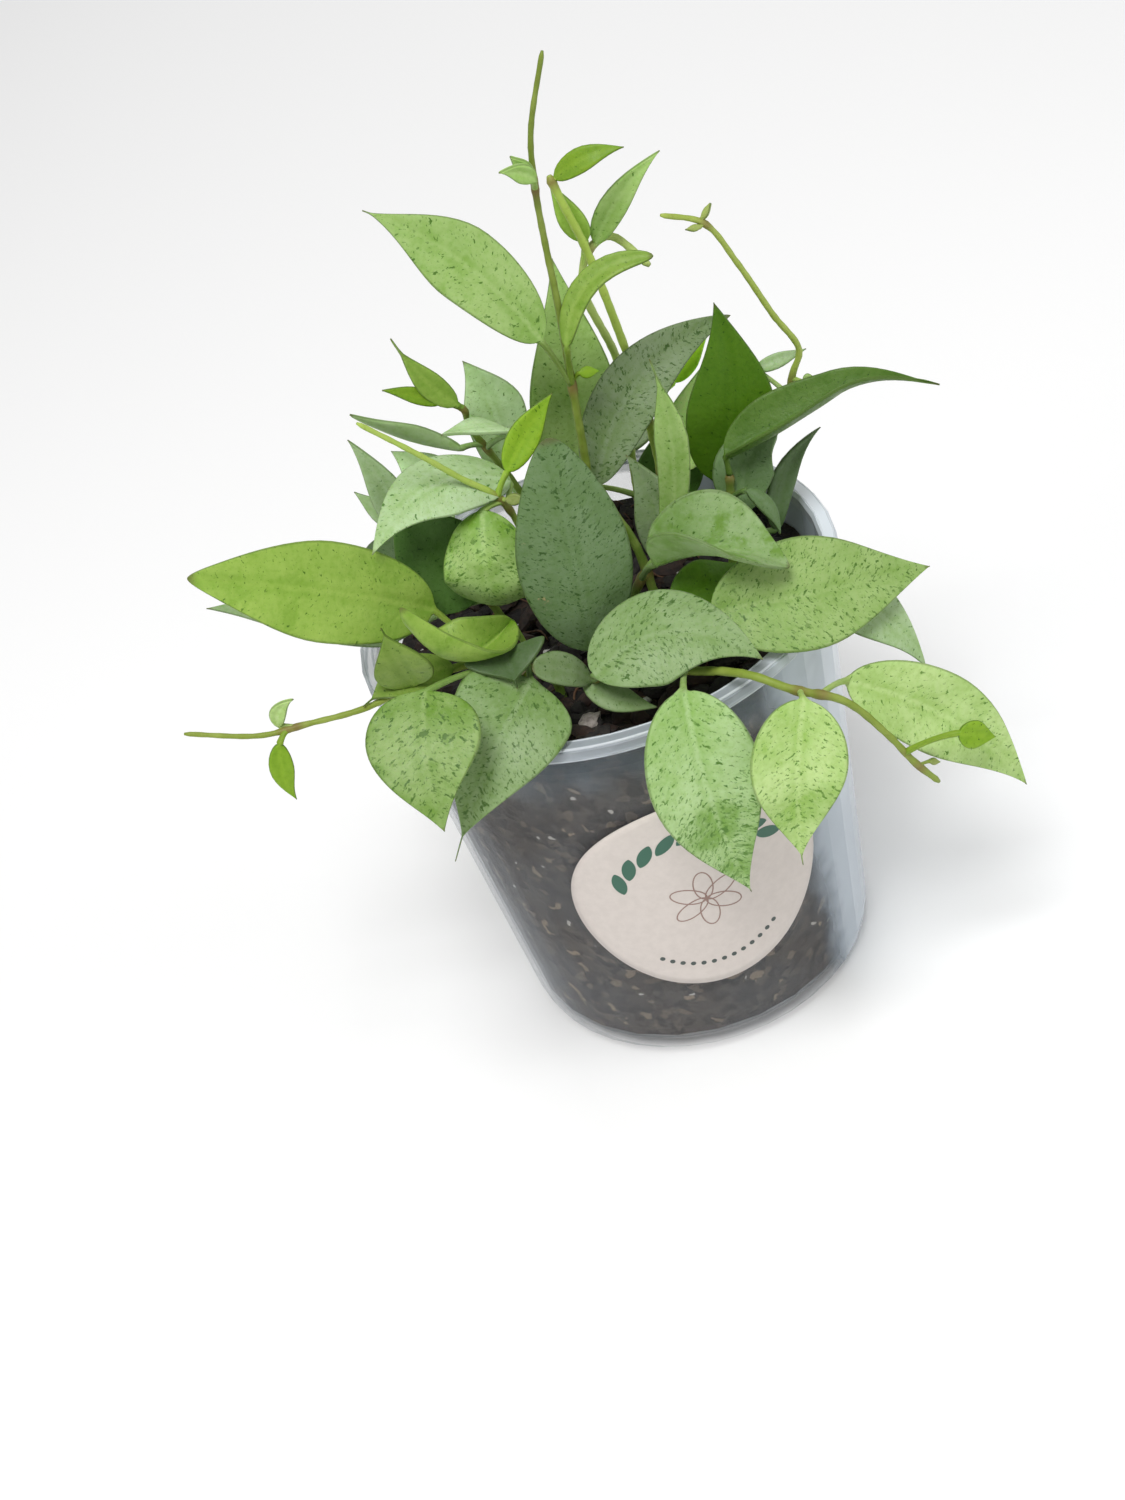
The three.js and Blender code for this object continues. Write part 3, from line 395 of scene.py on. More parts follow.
scene = bpy.context.scene
elevation = math.radians(CAMERA_ELEVATION)
roll = math.radians(CAMERA_ROLL)
ahead = Vector((0, math.cos(elevation), -math.sin(elevation)))
level = Vector((1, 0, 0))
above = level.cross(ahead)
right = level * math.cos(roll) - above * math.sin(roll)
up = above * math.cos(roll) + level * math.sin(roll)
camera_data = bpy.data.cameras.new("camera")
camera_data.sensor_width = SENSOR
camera_data.lens = FOCAL_PIXELS / IMAGE_HEIGHT * SENSOR
camera = add_object("camera", camera_data)
camera.matrix_world = Matrix((right, up, -ahead)).transposed().to_4x4()
camera.location = (Vector(CAMERA_TARGET) - ahead * CAMERA_DISTANCE) * MM
scene.camera = camera


# Materials

class Graph:
    """The node tree of one new material, with a call for each kind of node."""

    def __init__(self, name):
        self.material = bpy.data.materials.new(name)
        self.material.use_nodes = True
        self.tree = self.material.node_tree
        self.shader = self.tree.nodes["Principled BSDF"]

    def feed(self, socket, value):
        """An input takes a value or another node's output."""
        if isinstance(value, bpy.types.NodeSocket):
            self.tree.links.new(value, socket)
        else:
            socket.default_value = value

    def set(self, key, value):
        self.feed(self.shader.inputs[key], value)

    def node(self, kind, inputs=None, **settings):
        made = self.tree.nodes.new("ShaderNode" + kind)
        for key, value in settings.items():
            setattr(made, key, value)
        for key, value in (inputs or {}).items():
            self.feed(made.inputs[key], value)
        return made

    def place(self):
        return self.node("TexCoord").outputs["Object"]

    def point(self, name, output="Vector"):
        return self.node("Attribute", attribute_name=name, attribute_type="GEOMETRY").outputs[output]

    def split(self, vector):
        return self.node("SeparateXYZ", {0: vector}).outputs

    def maths(self, operation, *values):
        return self.node("Math", dict(enumerate(values)), operation=operation).outputs[0]

    plus = partialmethod(maths, "ADD")
    minus = partialmethod(maths, "SUBTRACT")
    times = partialmethod(maths, "MULTIPLY")

    def mix(self, share, first, second, mode="MIX"):
        inputs = {0: share, 6: first, 7: second}
        return self.node("Mix", inputs, data_type="RGBA", blend_type=mode).outputs[2]

    def tinted(self, colour, by):
        return self.mix(1, colour, (*by, 1), "MULTIPLY")

    def step(self, value, low, high, to_low=0, to_high=1):
        inputs = {"Value": value, "From Min": low, "From Max": high, "To Min": to_low, "To Max": to_high}
        return self.node("MapRange", inputs, interpolation_type="SMOOTHSTEP").outputs[0]

    def cloud(self, place, scale, detail=2, roughness=0.5):
        inputs = {"Vector": place, "Scale": scale, "Detail": detail, "Roughness": roughness}
        return self.node("TexNoise", inputs).outputs["Fac"]

    def ramp(self, value, stops):
        """A colour ramp through (place, 8-bit colour) stops."""
        made = self.node("ValToRGB", {0: value})
        ends = made.color_ramp.elements
        for element, (place, colour) in zip(ends, (stops[0], stops[-1])):
            element.position = place
            element.color = paint(colour)
        for place, colour in stops[1:-1]:
            ends.new(place).color = paint(colour)
        return made.outputs[0]

    def bump(self, height, strength, distance):
        inputs = {"Height": height, "Strength": strength, "Distance": distance * MM}
        self.set("Normal", self.node("Bump", inputs).outputs[0])

    def finish(self, colour, roughness, specular=0.5):
        self.set("Base Color", colour)
        self.set("Roughness", roughness)
        self.set("Specular IOR Level", specular)
        return self.material


def leaf_material():
    """Waxy leaf skin: greener blotches, a pale midrib, dark flecks and scars, and a thin dark margin."""
    g = Graph("leaf")
    place = g.point("leaf_place")
    tint = g.point("leaf_tint", "Color")
    form = g.point("leaf_form")
    kind = g.point("leaf_kind")
    scar = g.point("leaf_scar")
    across, along, seed = g.split(place)
    outwards, share, face = g.split(form)
    flecks, blotch_and_base_shade, tip_shade = g.split(kind)
    cork, dark, _ = g.split(scar)
    aside = g.maths("ABSOLUTE", across)

    # The blade's own green, with greener blotches, painted shade at its base and towards its tip, and paler
    # clouds.
    broad = g.cloud(place, 0.11, 3)
    small = g.cloud(place, 0.9, 4, 0.65)
    greener = g.tinted(tint, linear((184, 212, 110)))
    paler = g.tinted(tint, PALER)
    blotch = g.step(g.cloud(place, 0.17, 4, 0.6), 0.47, 0.62, 0, 0.85)
    # Painted shade: the blade turns darker and greener towards its base, as the shade that falls there.
    base = g.step(share, 0.05, 0.45, 1, 0)
    # Painted shade: past a ragged line the blade's end is darker and greener, as a shadow across it. Its
    # flecks also lie thicker there.
    low = g.plus(share, g.times(g.cloud(place, 0.25, 3), 0.3))
    low = g.times(g.step(low, 0.56, 0.7), tip_shade)
    green = g.times(g.maths("MAXIMUM", blotch, base), blotch_and_base_shade)
    shaded_tip = g.tinted(tint, linear((190, 208, 160)))
    colour = g.mix(low, g.mix(green, tint, greener), shaded_tip)
    colour = g.mix(g.step(broad, 0.4, 0.62, 0, 0.65), colour, paler)
    colour = g.mix(g.step(small, 0.3, 0.55, 0.3, 0), colour, greener)
    colour = g.mix(g.step(small, 0.52, 0.72, 0, 0.35), colour, paler)

    # Side veins run outwards and forwards, hardly paler than the blade. The midrib is pale and soft.
    skewed = g.minus(along, g.times(aside, 0.8))
    wander = g.times(g.cloud(place, 0.2, 2), 7)
    vein = g.maths("SINE", g.times(g.plus(skewed, wander), 0.95))
    colour = g.mix(g.step(vein, 0.7, 1, 0, 0.18), colour, paler)
    # Painted shade: a faint darker, greener band along each side of the midrib, as the shade in its crease.
    colour = g.mix(g.step(aside, 0.9, 2.4, 0.2, 0), colour, greener)
    rib = g.step(aside, 0.15, 0.9, 1, 0)
    rib = g.times(rib, g.step(small, 0.3, 0.6, 0.2, 0.6))
    colour = g.mix(g.times(rib, g.step(share, 0.3, 1, 1, 0.3)), colour, paler)

    # Flecks: short ragged marks that follow the side veins, in loose clusters.
    leaning = g.minus(along, g.times(aside, 0.5))
    followed = g.node("CombineXYZ", {0: across, 1: leaning, 2: seed}).outputs[0]
    cluster = g.step(g.cloud(place, 0.2, 3), 0.36, 0.6, 0.35, 1)
    thick = g.times(flecks, g.plus(cluster, g.times(low, 0.8)))
    marks = 0
    for stretch, height, strength in FLECK_LAYERS:
        spot = g.node("VectorMath", {0: followed, 1: stretch}, operation="MULTIPLY").outputs[0]
        limit = g.minus(height, g.times(thick, FLECK_SPREAD))
        over = g.minus(g.cloud(spot, 1, 3, 0.55), limit)
        mark = g.times(g.step(over, 0, 0.035, 0, strength), g.maths("GREATER_THAN", flecks, 0.01))
        marks = g.maths("MAXIMUM", marks, mark)
    fleck = g.tinted(tint, linear((134, 164, 106)))
    marks = g.times(marks, g.step(g.cloud(place, 0.7), 0.35, 0.6, 0.5, 1))
    colour = g.mix(g.times(marks, g.step(face, 0.4, 0.6, 0.4, 1)), colour, fleck)

    # Dark blotches and corky scars on single leaves.
    edge = g.times(g.minus(g.cloud(place, 0.9, 4, 0.7), 0.5), 1.6)
    colour = g.mix(g.step(g.plus(dark, edge), 0.42, 0.55, 0, 0.85), colour, fleck)
    crust = g.step(g.plus(cork, edge), 0.4, 0.6, 0, 0.8)
    tan = g.ramp(small, [(0.35, (92, 84, 56)), (0.6, (168, 156, 108))])
    colour = g.mix(crust, colour, tan)

    # The margin line and the brown tip.
    margin = g.step(outwards, 0.95, 0.985)
    colour = g.mix(g.times(margin, 0.45), colour, paint((72, 90, 40)))
    colour = g.mix(g.step(share, 0.96, 0.998, 0, 0.7), colour, paint((88, 84, 48)))
    g.set("Subsurface Weight", 0.12)
    g.set("Subsurface Radius", (0.4, 1, 0.15))
    g.set("Subsurface Scale", 0.9 * MM)
    relief = g.plus(small, g.times(broad, 4))
    g.bump(g.plus(relief, g.times(crust, 0.8)), 0.35, 0.4)
    return g.finish(colour, g.step(g.cloud(place, 0.5, 3), 0.3, 0.7, 0.38, 0.54), 0.24)


def stem_material():
    g = Graph("stem")
    tint = g.point("leaf_tint", "Color")
    place = g.place()
    speck = g.cloud(place, 900, 4, 0.7)
    colour = g.mix(g.step(speck, 0.52, 0.72, 0, 0.35), tint, paint((104, 92, 46)))
    streak = g.cloud(place, 240, 2)
    paler = g.mix(0.4, tint, paint((186, 200, 110)))
    colour = g.mix(g.step(streak, 0.4, 0.7, 0, 0.5), colour, paler)
    g.bump(speck, 0.3, 0.2)
    return g.finish(colour, 0.5, 0.3)


def wall_material():
    """Clear plastic: milky with damp above the soil and where it is seen edge-on, and paler and more opaque
    on the right as a painted reflection.
    """
    g = Graph("clear_plastic")
    place = g.place()
    x, _, height = g.split(place)
    ragged = g.plus(g.maths("DIVIDE", height, MM), g.times(g.cloud(place, 60, 3), 24))
    veil = g.step(ragged, 98, 106, 0, 0.15)
    lip = g.step(height, 0.1, 0.1012, 0, 0.34)
    # Painted reflection: the wall's right side is made more opaque, as a bright reflection of light.
    across = g.plus(g.maths("DIVIDE", x, 45 * MM), g.times(g.cloud(place, 70, 3), 0.3))
    side = g.step(across, 0.66, 0.84, 0, 0.75)
    haze = g.step(g.cloud(place, 60, 3), 0.35, 0.7, 0, 0.04)
    smear = g.step(g.cloud(place, 420, 3, 0.6), 0.6, 0.68, 0, 0.16)
    grazing = g.node("LayerWeight", {"Blend": 0.3}).outputs["Facing"]
    cover = g.plus(g.plus(veil, side), g.step(grazing, 0.35, 1, 0.04, 0.6))
    cover = g.plus(cover, g.plus(haze, g.times(smear, veil)))
    g.set("Alpha", g.plus(cover, lip))
    # Painted reflection: the wall's colour is paler on the right.
    colour = g.mix(g.step(x, 20 * MM, 36 * MM), paint((146, 158, 168)), paint((186, 196, 206)))
    g.bump(g.cloud(place, 40, 2), 0.08, 1)
    return g.finish(g.mix(lip, colour, paint((236, 240, 244))), 0.16)


def soil_material():
    """Bark and peat: painted near black on top as shade, and lighter grey-brown behind the wall as painted
    light.
    """
    g = Graph("potting_mix")
    place = g.place()
    height = g.split(place)[2]
    # Painted light and shade: the mix's top is near black as shade, its sides behind the wall lighter and
    # greyer; the grain and specks are its own.
    lower_side = g.step(height, 90 * MM, 93.5 * MM, 1, 0)
    warp = g.node("TexNoise", {"Vector": place, "Scale": 260, "Detail": 3}).outputs["Color"]
    inputs = {0: warp, 1: (0.005, 0.005, 0.005), 2: place}
    warped = g.node("VectorMath", inputs, operation="MULTIPLY_ADD").outputs[0]
    chips = g.node("TexVoronoi", {"Vector": warped, "Scale": 480})
    chance, other, _ = g.node("SeparateColor", {0: chips.outputs["Color"]}).outputs
    shaded_top = g.ramp(chance, [(0, (14, 11, 10)), (0.4, (27, 21, 18)), (0.8, (48, 36, 30)),
                            (1, (80, 60, 47))])
    lit_side = g.ramp(chance, [(0, (68, 62, 58)), (0.4, (82, 75, 70)), (0.85, (92, 85, 78)),
                            (0.95, (112, 100, 89)), (1, (150, 133, 114))])
    fine = g.cloud(place, 900, 5, 0.7)
    broad = g.cloud(place, 70, 3, 0.6)
    lit_side = g.mix(g.step(broad, 0.35, 0.7, 0, 0.3), lit_side, paint((68, 62, 58)))
    lit_side = g.mix(g.step(fine, 0.58, 0.66, 0, 0.6), lit_side, paint((38, 34, 32)))
    shaded_top = g.mix(g.step(fine, 0.3, 0.75, 0.55, 0), shaded_top, paint((22, 17, 15)))
    colour = g.mix(lower_side, shaded_top, lit_side)
    distance = chips.outputs["Distance"]
    grain = g.times(g.maths("GREATER_THAN", other, 0.975), g.step(distance, 0.25, 0.4, 1, 0))
    colour = g.mix(g.times(grain, 0.7), colour, paint((206, 200, 192)))
    g.bump(g.plus(distance, fine), 0.5, 1)
    return g.finish(colour, 0.85)


def flat_material(name, colour, roughness, alpha=1, glow=0):
    g = Graph(name)
    g.set("Alpha", alpha)
    g.set("Emission Color", paint(colour))
    g.set("Emission Strength", glow)
    return g.finish(paint(colour), roughness)


def plain_material(name, low, high, scale, roughness, depth=0.3):
    """Two tones that a fine noise mixes, with a little relief."""
    g = Graph(name)
    value = g.cloud(g.place(), scale, 4, 0.65)
    g.bump(value, 0.5, depth)
    return g.finish(g.mix(g.step(value, 0.3, 0.7), paint(low), paint(high)), roughness)


# Mesh helpers

def piece(name, points, faces, materials, slot, smooth=True, numbers=None, attributes=None):
    """A mesh piece from points in millimetres that rides on the root body."""
    mesh = bpy.data.meshes.new(name)
    inside = np.clip(np.array(points, float) * MM, *(np.array(corner) for corner in cad_box))
    mesh.from_pydata([tuple(p) for p in inside], [], faces)
    for made in materials:
        mesh.materials.append(made)
    if numbers is not None:
        mesh.polygons.foreach_set("material_index", numbers)
    for key, rows in (attributes or {}).items():
        rows = np.array(rows, float)
        kind, field = ("FLOAT_COLOR", "color") if rows.shape[1] == 4 else ("FLOAT_VECTOR", "vector")
        mesh.attributes.new(key, kind, "POINT").data.foreach_set(field, rows.ravel())
    mesh.polygons.foreach_set("use_smooth", [smooth] * len(mesh.polygons))
    mesh.update()
    made = add_object(name, mesh)
    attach(made, "root")
    return made


def skin(loops, start=0):
    """The faces of a closed skin over loops of equal length, and the points, with a middle at each end."""
    count = len(loops[0])
    points = [p for loop in loops for p in loop]
    first, last = start + len(points), start + len(points) - count
    faces = []
    for j in range(count):
        k = (j + 1) % count
        faces += [(a + j, a + k, a + count + k, a + count + j) for a in range(start, last, count)]
        faces += [(first, start + k, start + j), (first + 1, last + j, last + k)]
    return points + [np.mean(loops[0], axis=0), np.mean(loops[-1], axis=0)], faces


def unit(v):
    return v / max(np.linalg.norm(v), 1e-9)


def square(to, direction):
    return unit(to - direction * to.dot(direction))


def tube(route, radii, sides, normal):
    """Rings of points along a route, each square to it."""
    loops = []
    turns = np.linspace(0, 2 * math.pi, sides, endpoint=False)
    for i, (centre, radius) in enumerate(zip(route, radii)):
        tangent = unit(route[min(i + 1, len(route) - 1)] - route[max(i - 1, 0)])
        normal = square(np.array(normal, float), tangent)
        side = np.cross(tangent, normal)
        loops.append([centre + (normal * math.cos(a) + side * math.sin(a)) * radius for a in turns])
    return loops


# Stems

def stem_points(route, steps):
    """Evenly spaced points on the centripetal curve up through the soil and along the route."""
    x, y = route[0][:2]
    low = [(x, y, SOIL_TOP - ROOT_DEPTH), (x, y, SOIL_TOP - 10), (x, y, SOIL_TOP + 1)]
    knots = np.array(low + list(route), float)
    knots = np.vstack([2 * knots[0] - knots[1], knots, 2 * knots[-1] - knots[-2]])
    fine = []
    for i in range(1, len(knots) - 2):
        p0, p1, p2, p3 = knots[i - 1:i + 3]
        d0, d1, d2 = [max(np.linalg.norm(b - a) ** 0.5, 1e-4) for a, b in ((p0, p1), (p1, p2), (p2, p3))]
        t1 = ((p1 - p0) / d0 - (p2 - p0) / (d0 + d1) + (p2 - p1) / d1) * d1
        t2 = ((p2 - p1) / d1 - (p3 - p1) / (d1 + d2) + (p3 - p2) / d2) * d1
        for share in np.linspace(0, 1, CURVE_STEPS, endpoint=False):
            squared = (3 * (p2 - p1) - 2 * t1 - t2) * share ** 2
            fine.append(p1 + t1 * share + squared + (2 * (p1 - p2) + t1 + t2) * share ** 3)
    fine = np.array(fine + [knots[-2]])
    lengths = np.concatenate([[0], np.cumsum(np.linalg.norm(np.diff(fine, axis=0), axis=1))])
    even = np.linspace(0, lengths[-1], steps)
    return np.stack([np.interp(even, lengths, fine[:, k]) for k in range(3)], axis=1), lengths[-1]


def stem_mesh(name, radii, route, leaves, green):
    """A round stem with swollen, browner nodes where its leaves join, and a rounded end."""
    _, length = stem_points(route, 10)
    steps = max(12, int(length / STEM_PITCH))
    centres, _ = stem_points(route, steps)
    joints = [np.array(row[1], float) for row in leaves]
    brown = np.array(linear(NODE_BROWN))
    rng = random.Random(name)
    sizes, tints = [], []
    for i, centre in enumerate(centres):
        share = i / (steps - 1)
        gap = min(np.linalg.norm(centre - joint) for joint in joints)
        knot = math.exp(-(gap / NODE_REACH) ** 2)
        uneven = 0.05 * math.sin(i * 1.7) + rng.uniform(-0.03, 0.03)
        sizes.append((radii[0] + (radii[1] - radii[0]) * share) * (1 + NODE_SWELL * knot + uneven))
        tints += [green + (brown - green) * min(1, 0.75 * knot + 0.1 * share)] * STEM_SIDES
    sizes[-1] *= STEM_END
    points, faces = skin(tube(centres, sizes, STEM_SIDES, (1, 0, 0)))
    return points, faces, tints + [green, green]


# Leaves

def outline(share, widest, full):
    """A blade's half width at a share of its length, from 0 to 1."""
    if share < widest:
        return math.sqrt(1 - (1 - share / widest) ** 2)
    past = (share - widest) / (1 - widest)
    drawn = 0.55 * (1 - past ** 1.8) + 0.45 * (0.5 + 0.5 * math.cos(math.pi * past))
    return drawn + (math.sqrt(max(0, 1 - past * past)) - drawn) * full


def scars_at(name, across, share, length):
    """How corky and how dark a leaf is at a place, from 0 to 1."""
    found = {"cork": 0, "dark": 0}
    for at_across, at_share, reach, kind in SCARS.get(name, ()):
        away = math.hypot((across - at_across) * 0.7, (share - at_share) * length) / reach
        found[kind] = max(found[kind], math.exp(-0.7 * away * away))
    return found["cork"], found["dark"], 0


def leaf_mesh(name, joint, base, tip, width, facing, form, number):
    """One leaf, stalk and blade in one skin: its loops, and each point's place, form and scars."""
    keys = "bow", "sweep", "cup", "curl", "twist", "full"
    bow, sweep, cup, curl, twist, full = (form.get(key, 0) for key in keys)
    cup_tip = form.get("cup_tip", cup)
    widest = form.get("widest", 0.4)
    wave = form.get("wave", 0.015 * width)
    blister = form.get("blister", 0.014 * width)
    start, joint = np.array(base, float), np.array(joint, float)
    chord = np.array(tip, float) - start
    length = np.linalg.norm(chord)
    along = unit(chord)
    upward = square(np.array(facing, float), along)
    aside = np.cross(along, upward)
    count, stations = BIG_MESH if width >= BIG_LEAF else SMALL_MESH
    columns = np.sin(np.radians(np.linspace(-90, 90, count)))
    seed = number * NEXT_LEAF
    loops, marks = [], []

    reach = np.linalg.norm(start - joint)
    bend = (joint + start) / 2 + np.array((0, 0, STALK_ARCH * reach))
    turns = [math.pi * (1 - (j + 0.5) / count) for j in range(2 * count)]
    for share in STALK_SHARES:
        centre = joint * (1 - share) ** 2 + bend * 2 * share * (1 - share) + start * share ** 2
        tangent = unit((bend - joint) * (1 - share) + (start - bend) * share)
        normal = square(upward, tangent)
        side = np.cross(tangent, normal)
        radius = min(STALK_RADIUS, 0.25 + 0.12 * width) * (1 - 0.22 * math.sin(math.pi * share))
        loops.append([centre + (side * math.cos(a) + normal * math.sin(a)) * radius for a in turns])
        marks += [((math.cos(a) * 3, (share - 1) * reach, seed), (0.5, -1, 1), CLEAR) for a in turns]

    for k in range(stations):
        share = 0.006 + 0.994 * (1 - math.cos(math.pi * (k / (stations - 1)) ** 0.9)) / 2
        hump, slope = 4 * share * (1 - share), 4 * (1 - 2 * share)
        late = max(0, (share - CURL_FROM) / (1 - CURL_FROM))
        centre = start + chord * share + upward * (bow * hump - curl * late ** 2) + aside * sweep * hump
        curling = curl * 2 * late / (1 - CURL_FROM)
        tangent = unit(chord + upward * (bow * slope - curling) + aside * sweep * slope)
        lean = math.radians(cup + (cup_tip - cup) * share)
        flat = square(upward, tangent)
        turn = math.radians(twist * share * share)
        normal = flat * math.cos(turn) + np.cross(tangent, flat) * math.sin(turn)
        side = np.cross(tangent, normal)
        half = max(TIP_HALF_WIDTH * (1 - 0.8 * share), width / 2 * outline(share, widest, full))
        above, below = [], []
        for v in columns:
            wavy = math.sin(2 * math.pi * (1.4 * share + 0.13 * number) + (0 if v < 0 else 2.1))
            lump = Vector((half * v / BLISTER[0], length * share / BLISTER[1], number * BLISTER[2]))
            raised = blister * noise.noise(lump) * min(1, share * 6, (1 - share) * 6)
            lift = half * abs(v) ** 1.5 * math.sin(lean)
            lift += (wave * v * v * wavy + raised) * math.sin(math.pi * share)
            spot = centre + side * half * v * math.cos(lean) + normal * lift
            out = unit(normal - side * 1.5 * np.sign(v) * math.sqrt(abs(v)) * math.tan(lean))
            thick = BLADE_EDGE + (BLADE_MIDDLE - BLADE_EDGE) * (1 - v * v) * (1 - share * share)
            thick *= 0.3 if abs(v) > 0.999 else 0.85 if abs(v) > 0.97 else 1
            thick *= min(1, 0.5 + (1 - share) * 12)
            rib = math.exp(-(half * v / RIB_REACH) ** 2) * min(1, half / 5)
            above.append(spot + out * (thick / 2 - RIB_GROOVE * rib))
            below.append(spot - out * (thick / 2 + RIB_KEEL * rib))
            scar = scars_at(name, half * v, share, length)
            marks.append(((half * v, length * share, seed), (abs(v), share, 1), scar))
        marks += [((half * v, length * share, seed + NEXT_FACE), (abs(v), share, 0), CLEAR)
                  for v in columns[::-1]]
        loops.append(above + below[::-1])
    return loops, marks + [marks[0], marks[-1]]


LEAF = leaf_material()
STEM = stem_material()
number = 0
for stem_name, radii, route, leaves in STEMS:
    stem_green = np.array(linear(STEM_TINTS.get(stem_name, STEM_GREEN)))
    points, faces, tints = stem_mesh(stem_name, radii, route, leaves, stem_green)
    numbers = [1] * len(faces)
    marks = [(CLEAR, (0.5, 0, 1), CLEAR, CLEAR)] * len(points)
    curve, _ = stem_points(route, JOINT_STEPS)
    for name, about, base, tip, width, facing, tone, lightness, kind, form in leaves:
        number += 1
        joint = curve[np.argmin(np.linalg.norm(curve - np.array(about, float), axis=1))]
        loops, leaf_marks = leaf_mesh(name, joint, base, tip, width, facing, form, number)
        leaf_points, leaf_faces = skin(loops, len(points))
        points += leaf_points
        faces += leaf_faces
        numbers += [0] * len(leaf_faces)
        green = np.array(linear(TONES[tone])) * lightness
        for place, shape, scar in leaf_marks:
            stalk = shape[1] < 0
            marks.append((place, shape, scar, CLEAR if stalk else kind))
            tints.append((green + stem_green) / 2 if stalk else green)
    fields = dict(zip(("leaf_place", "leaf_form", "leaf_scar", "leaf_kind"), zip(*marks)))
    fields["leaf_tint"] = [(*tint, 1) for tint in tints]
    made = piece(stem_name + "_plant", points, faces, [LEAF, STEM], "foliage", True, numbers, fields)
    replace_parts(made, stem_name)


# Pot and soil: the solids keep their shape and get their finish. Beads line the pot's lip, coloured near
# white as painted highlight lines.

def dress(node, made):
    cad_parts[node].data.materials.clear()
    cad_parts[node].data.materials.append(made)


def polar(radius, turn):
    return radius * math.cos(turn), radius * math.sin(turn)


def ring_bead(radius, height, thick, around=160, sides=8):
    """A thin round bead along a level ring."""
    points, faces = [], []
    for i in range(around):
        for j in range(sides):
            out, rise = polar(thick, 2 * math.pi * j / sides)
            points.append((*polar(radius + out, 2 * math.pi * i / around), height + rise))
            a, b, k = i * sides, (i + 1) % around * sides, (j + 1) % sides
            faces.append((a + j, b + j, b + k, a + k))
    return points, faces


dress("pot", wall_material())
dress("soil", soil_material())
# Painted highlight: the lip beads are near white and half opaque, as bright lines of light along the lip.
highlight_bead_finish = flat_material("clear_plastic_edge_highlight", (232, 238, 244), 0.2, 0.6)
for name, *sizes in LIP_BEADS:
    piece(name, *ring_bead(*sizes), [highlight_bead_finish], "clear_plastic")


# Sticker: a finer round of paper on the wall, with a plain print

def on_wall(across, rise, lift):
    """A place on the sticker, from its middle, at a lift above the wall."""
    height = STICKER_HEIGHT + rise
    turn = math.radians(-90 + STICKER_TURN) + across / wall_radius(STICKER_HEIGHT)
    return *polar(wall_radius(height) + lift, turn), height


def paper_round():
    loops = []
    rings = [r * STICKER_RADIUS / STICKER_RINGS for r in range(1, STICKER_RINGS + 1)]
    turns = np.linspace(0, 2 * math.pi, STICKER_SIDES, endpoint=False)
    for lift, radii in ((STICKER_GAP, rings), (STICKER_FACE, rings[::-1])):
        loops += [[np.array(on_wall(*polar(radius, a), lift)) for a in turns] for radius in radii]
    return skin(loops)


def printed(name, shapes, colour):
    """Flat shapes printed on the sticker, each a closed list of points about its middle."""
    points, faces = [], []
    for shape in shapes:
        first = len(points)
        count = len(shape)
        points.append(on_wall(*np.mean(shape, axis=0), STICKER_FACE + PRINT_LIFT))
        for lift in (PRINT_LIFT, -PRINT_LIFT):
            points += [on_wall(*p, STICKER_FACE + lift) for p in shape]
        for i in range(count):
            a, b = first + 1 + i, first + 1 + (i + 1) % count
            faces += [(first, a, b), (a, a + count, b + count, b)]
    piece(name, points, faces, [flat_material(*colour, 0.5)], "sticker_paper", smooth=False)


def turned(shape, middle, turn):
    """A flat shape, turned about its own origin and moved to a middle."""
    c, s = polar(1, turn)
    return [(middle[0] + x * c - y * s, middle[1] + x * s + y * c) for x, y in shape]


def lozenge(length, width):
    """A pointed leaf shape."""
    shape = [polar(1, math.pi * i / 12) for i in range(24)]
    return [(length / 2 * x, width / 2 * y * abs(y) ** 0.4) for x, y in shape]


def arc(radius, end, steps, squash=1):
    turns = np.radians(np.linspace(0, end, steps))
    return [(radius * math.cos(a), radius * squash * math.sin(a)) for a in turns]


def stroke(points, width):
    """Short quads along a line of points, so that each bends with the wall."""
    shapes = []
    for (x0, y0), (x1, y1) in zip(points, points[1:]):
        reach = math.hypot(x1 - x0, y1 - y0)
        ox, oy = (y0 - y1) / reach * width / 2, (x1 - x0) / reach * width / 2
        shapes.append([(x0 + ox, y0 + oy), (x0 - ox, y0 - oy), (x1 - ox, y1 - oy), (x1 + ox, y1 + oy)])
    return shapes


paper = plain_material("sticker_paper", (208, 199, 192), (214, 205, 198), 500, 0.5, 0.02)
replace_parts(piece("sticker_face", *paper_round(), [paper], "sticker_paper"), "sticker")

garland = [turned(lozenge(*GARLAND_LEAF), polar(GARLAND_RADIUS, a), a - math.radians(GARLAND_LEAN))
           for a in np.radians(np.linspace(*GARLAND_SPAN, GARLAND_LEAVES))]
printed("sticker_print_green", garland, ("print_green", (48, 98, 78)))
petals = []
for k in range(PETALS):
    turn = math.radians(360 / PETALS * (k + 0.5))
    x, y = polar(PETAL_RADIUS, turn)
    petal = turned(arc(PETAL_RADIUS, 360, PETAL_POINTS, 0.5), (x, y - PETAL_DROP), turn)
    petals += stroke(petal, PETAL_LINE)
printed("sticker_print_brown", petals, ("print_brown", (150, 122, 112)))
dots = [turned(arc(DOT_RADIUS, 324, 10), polar(DOTS_RADIUS, a), 0)
        for a in np.radians(np.linspace(*DOTS_SPAN, DOTS))]
printed("sticker_print_dots", dots, ("print_grey", (70, 80, 76)))


# Loose grain on the mix

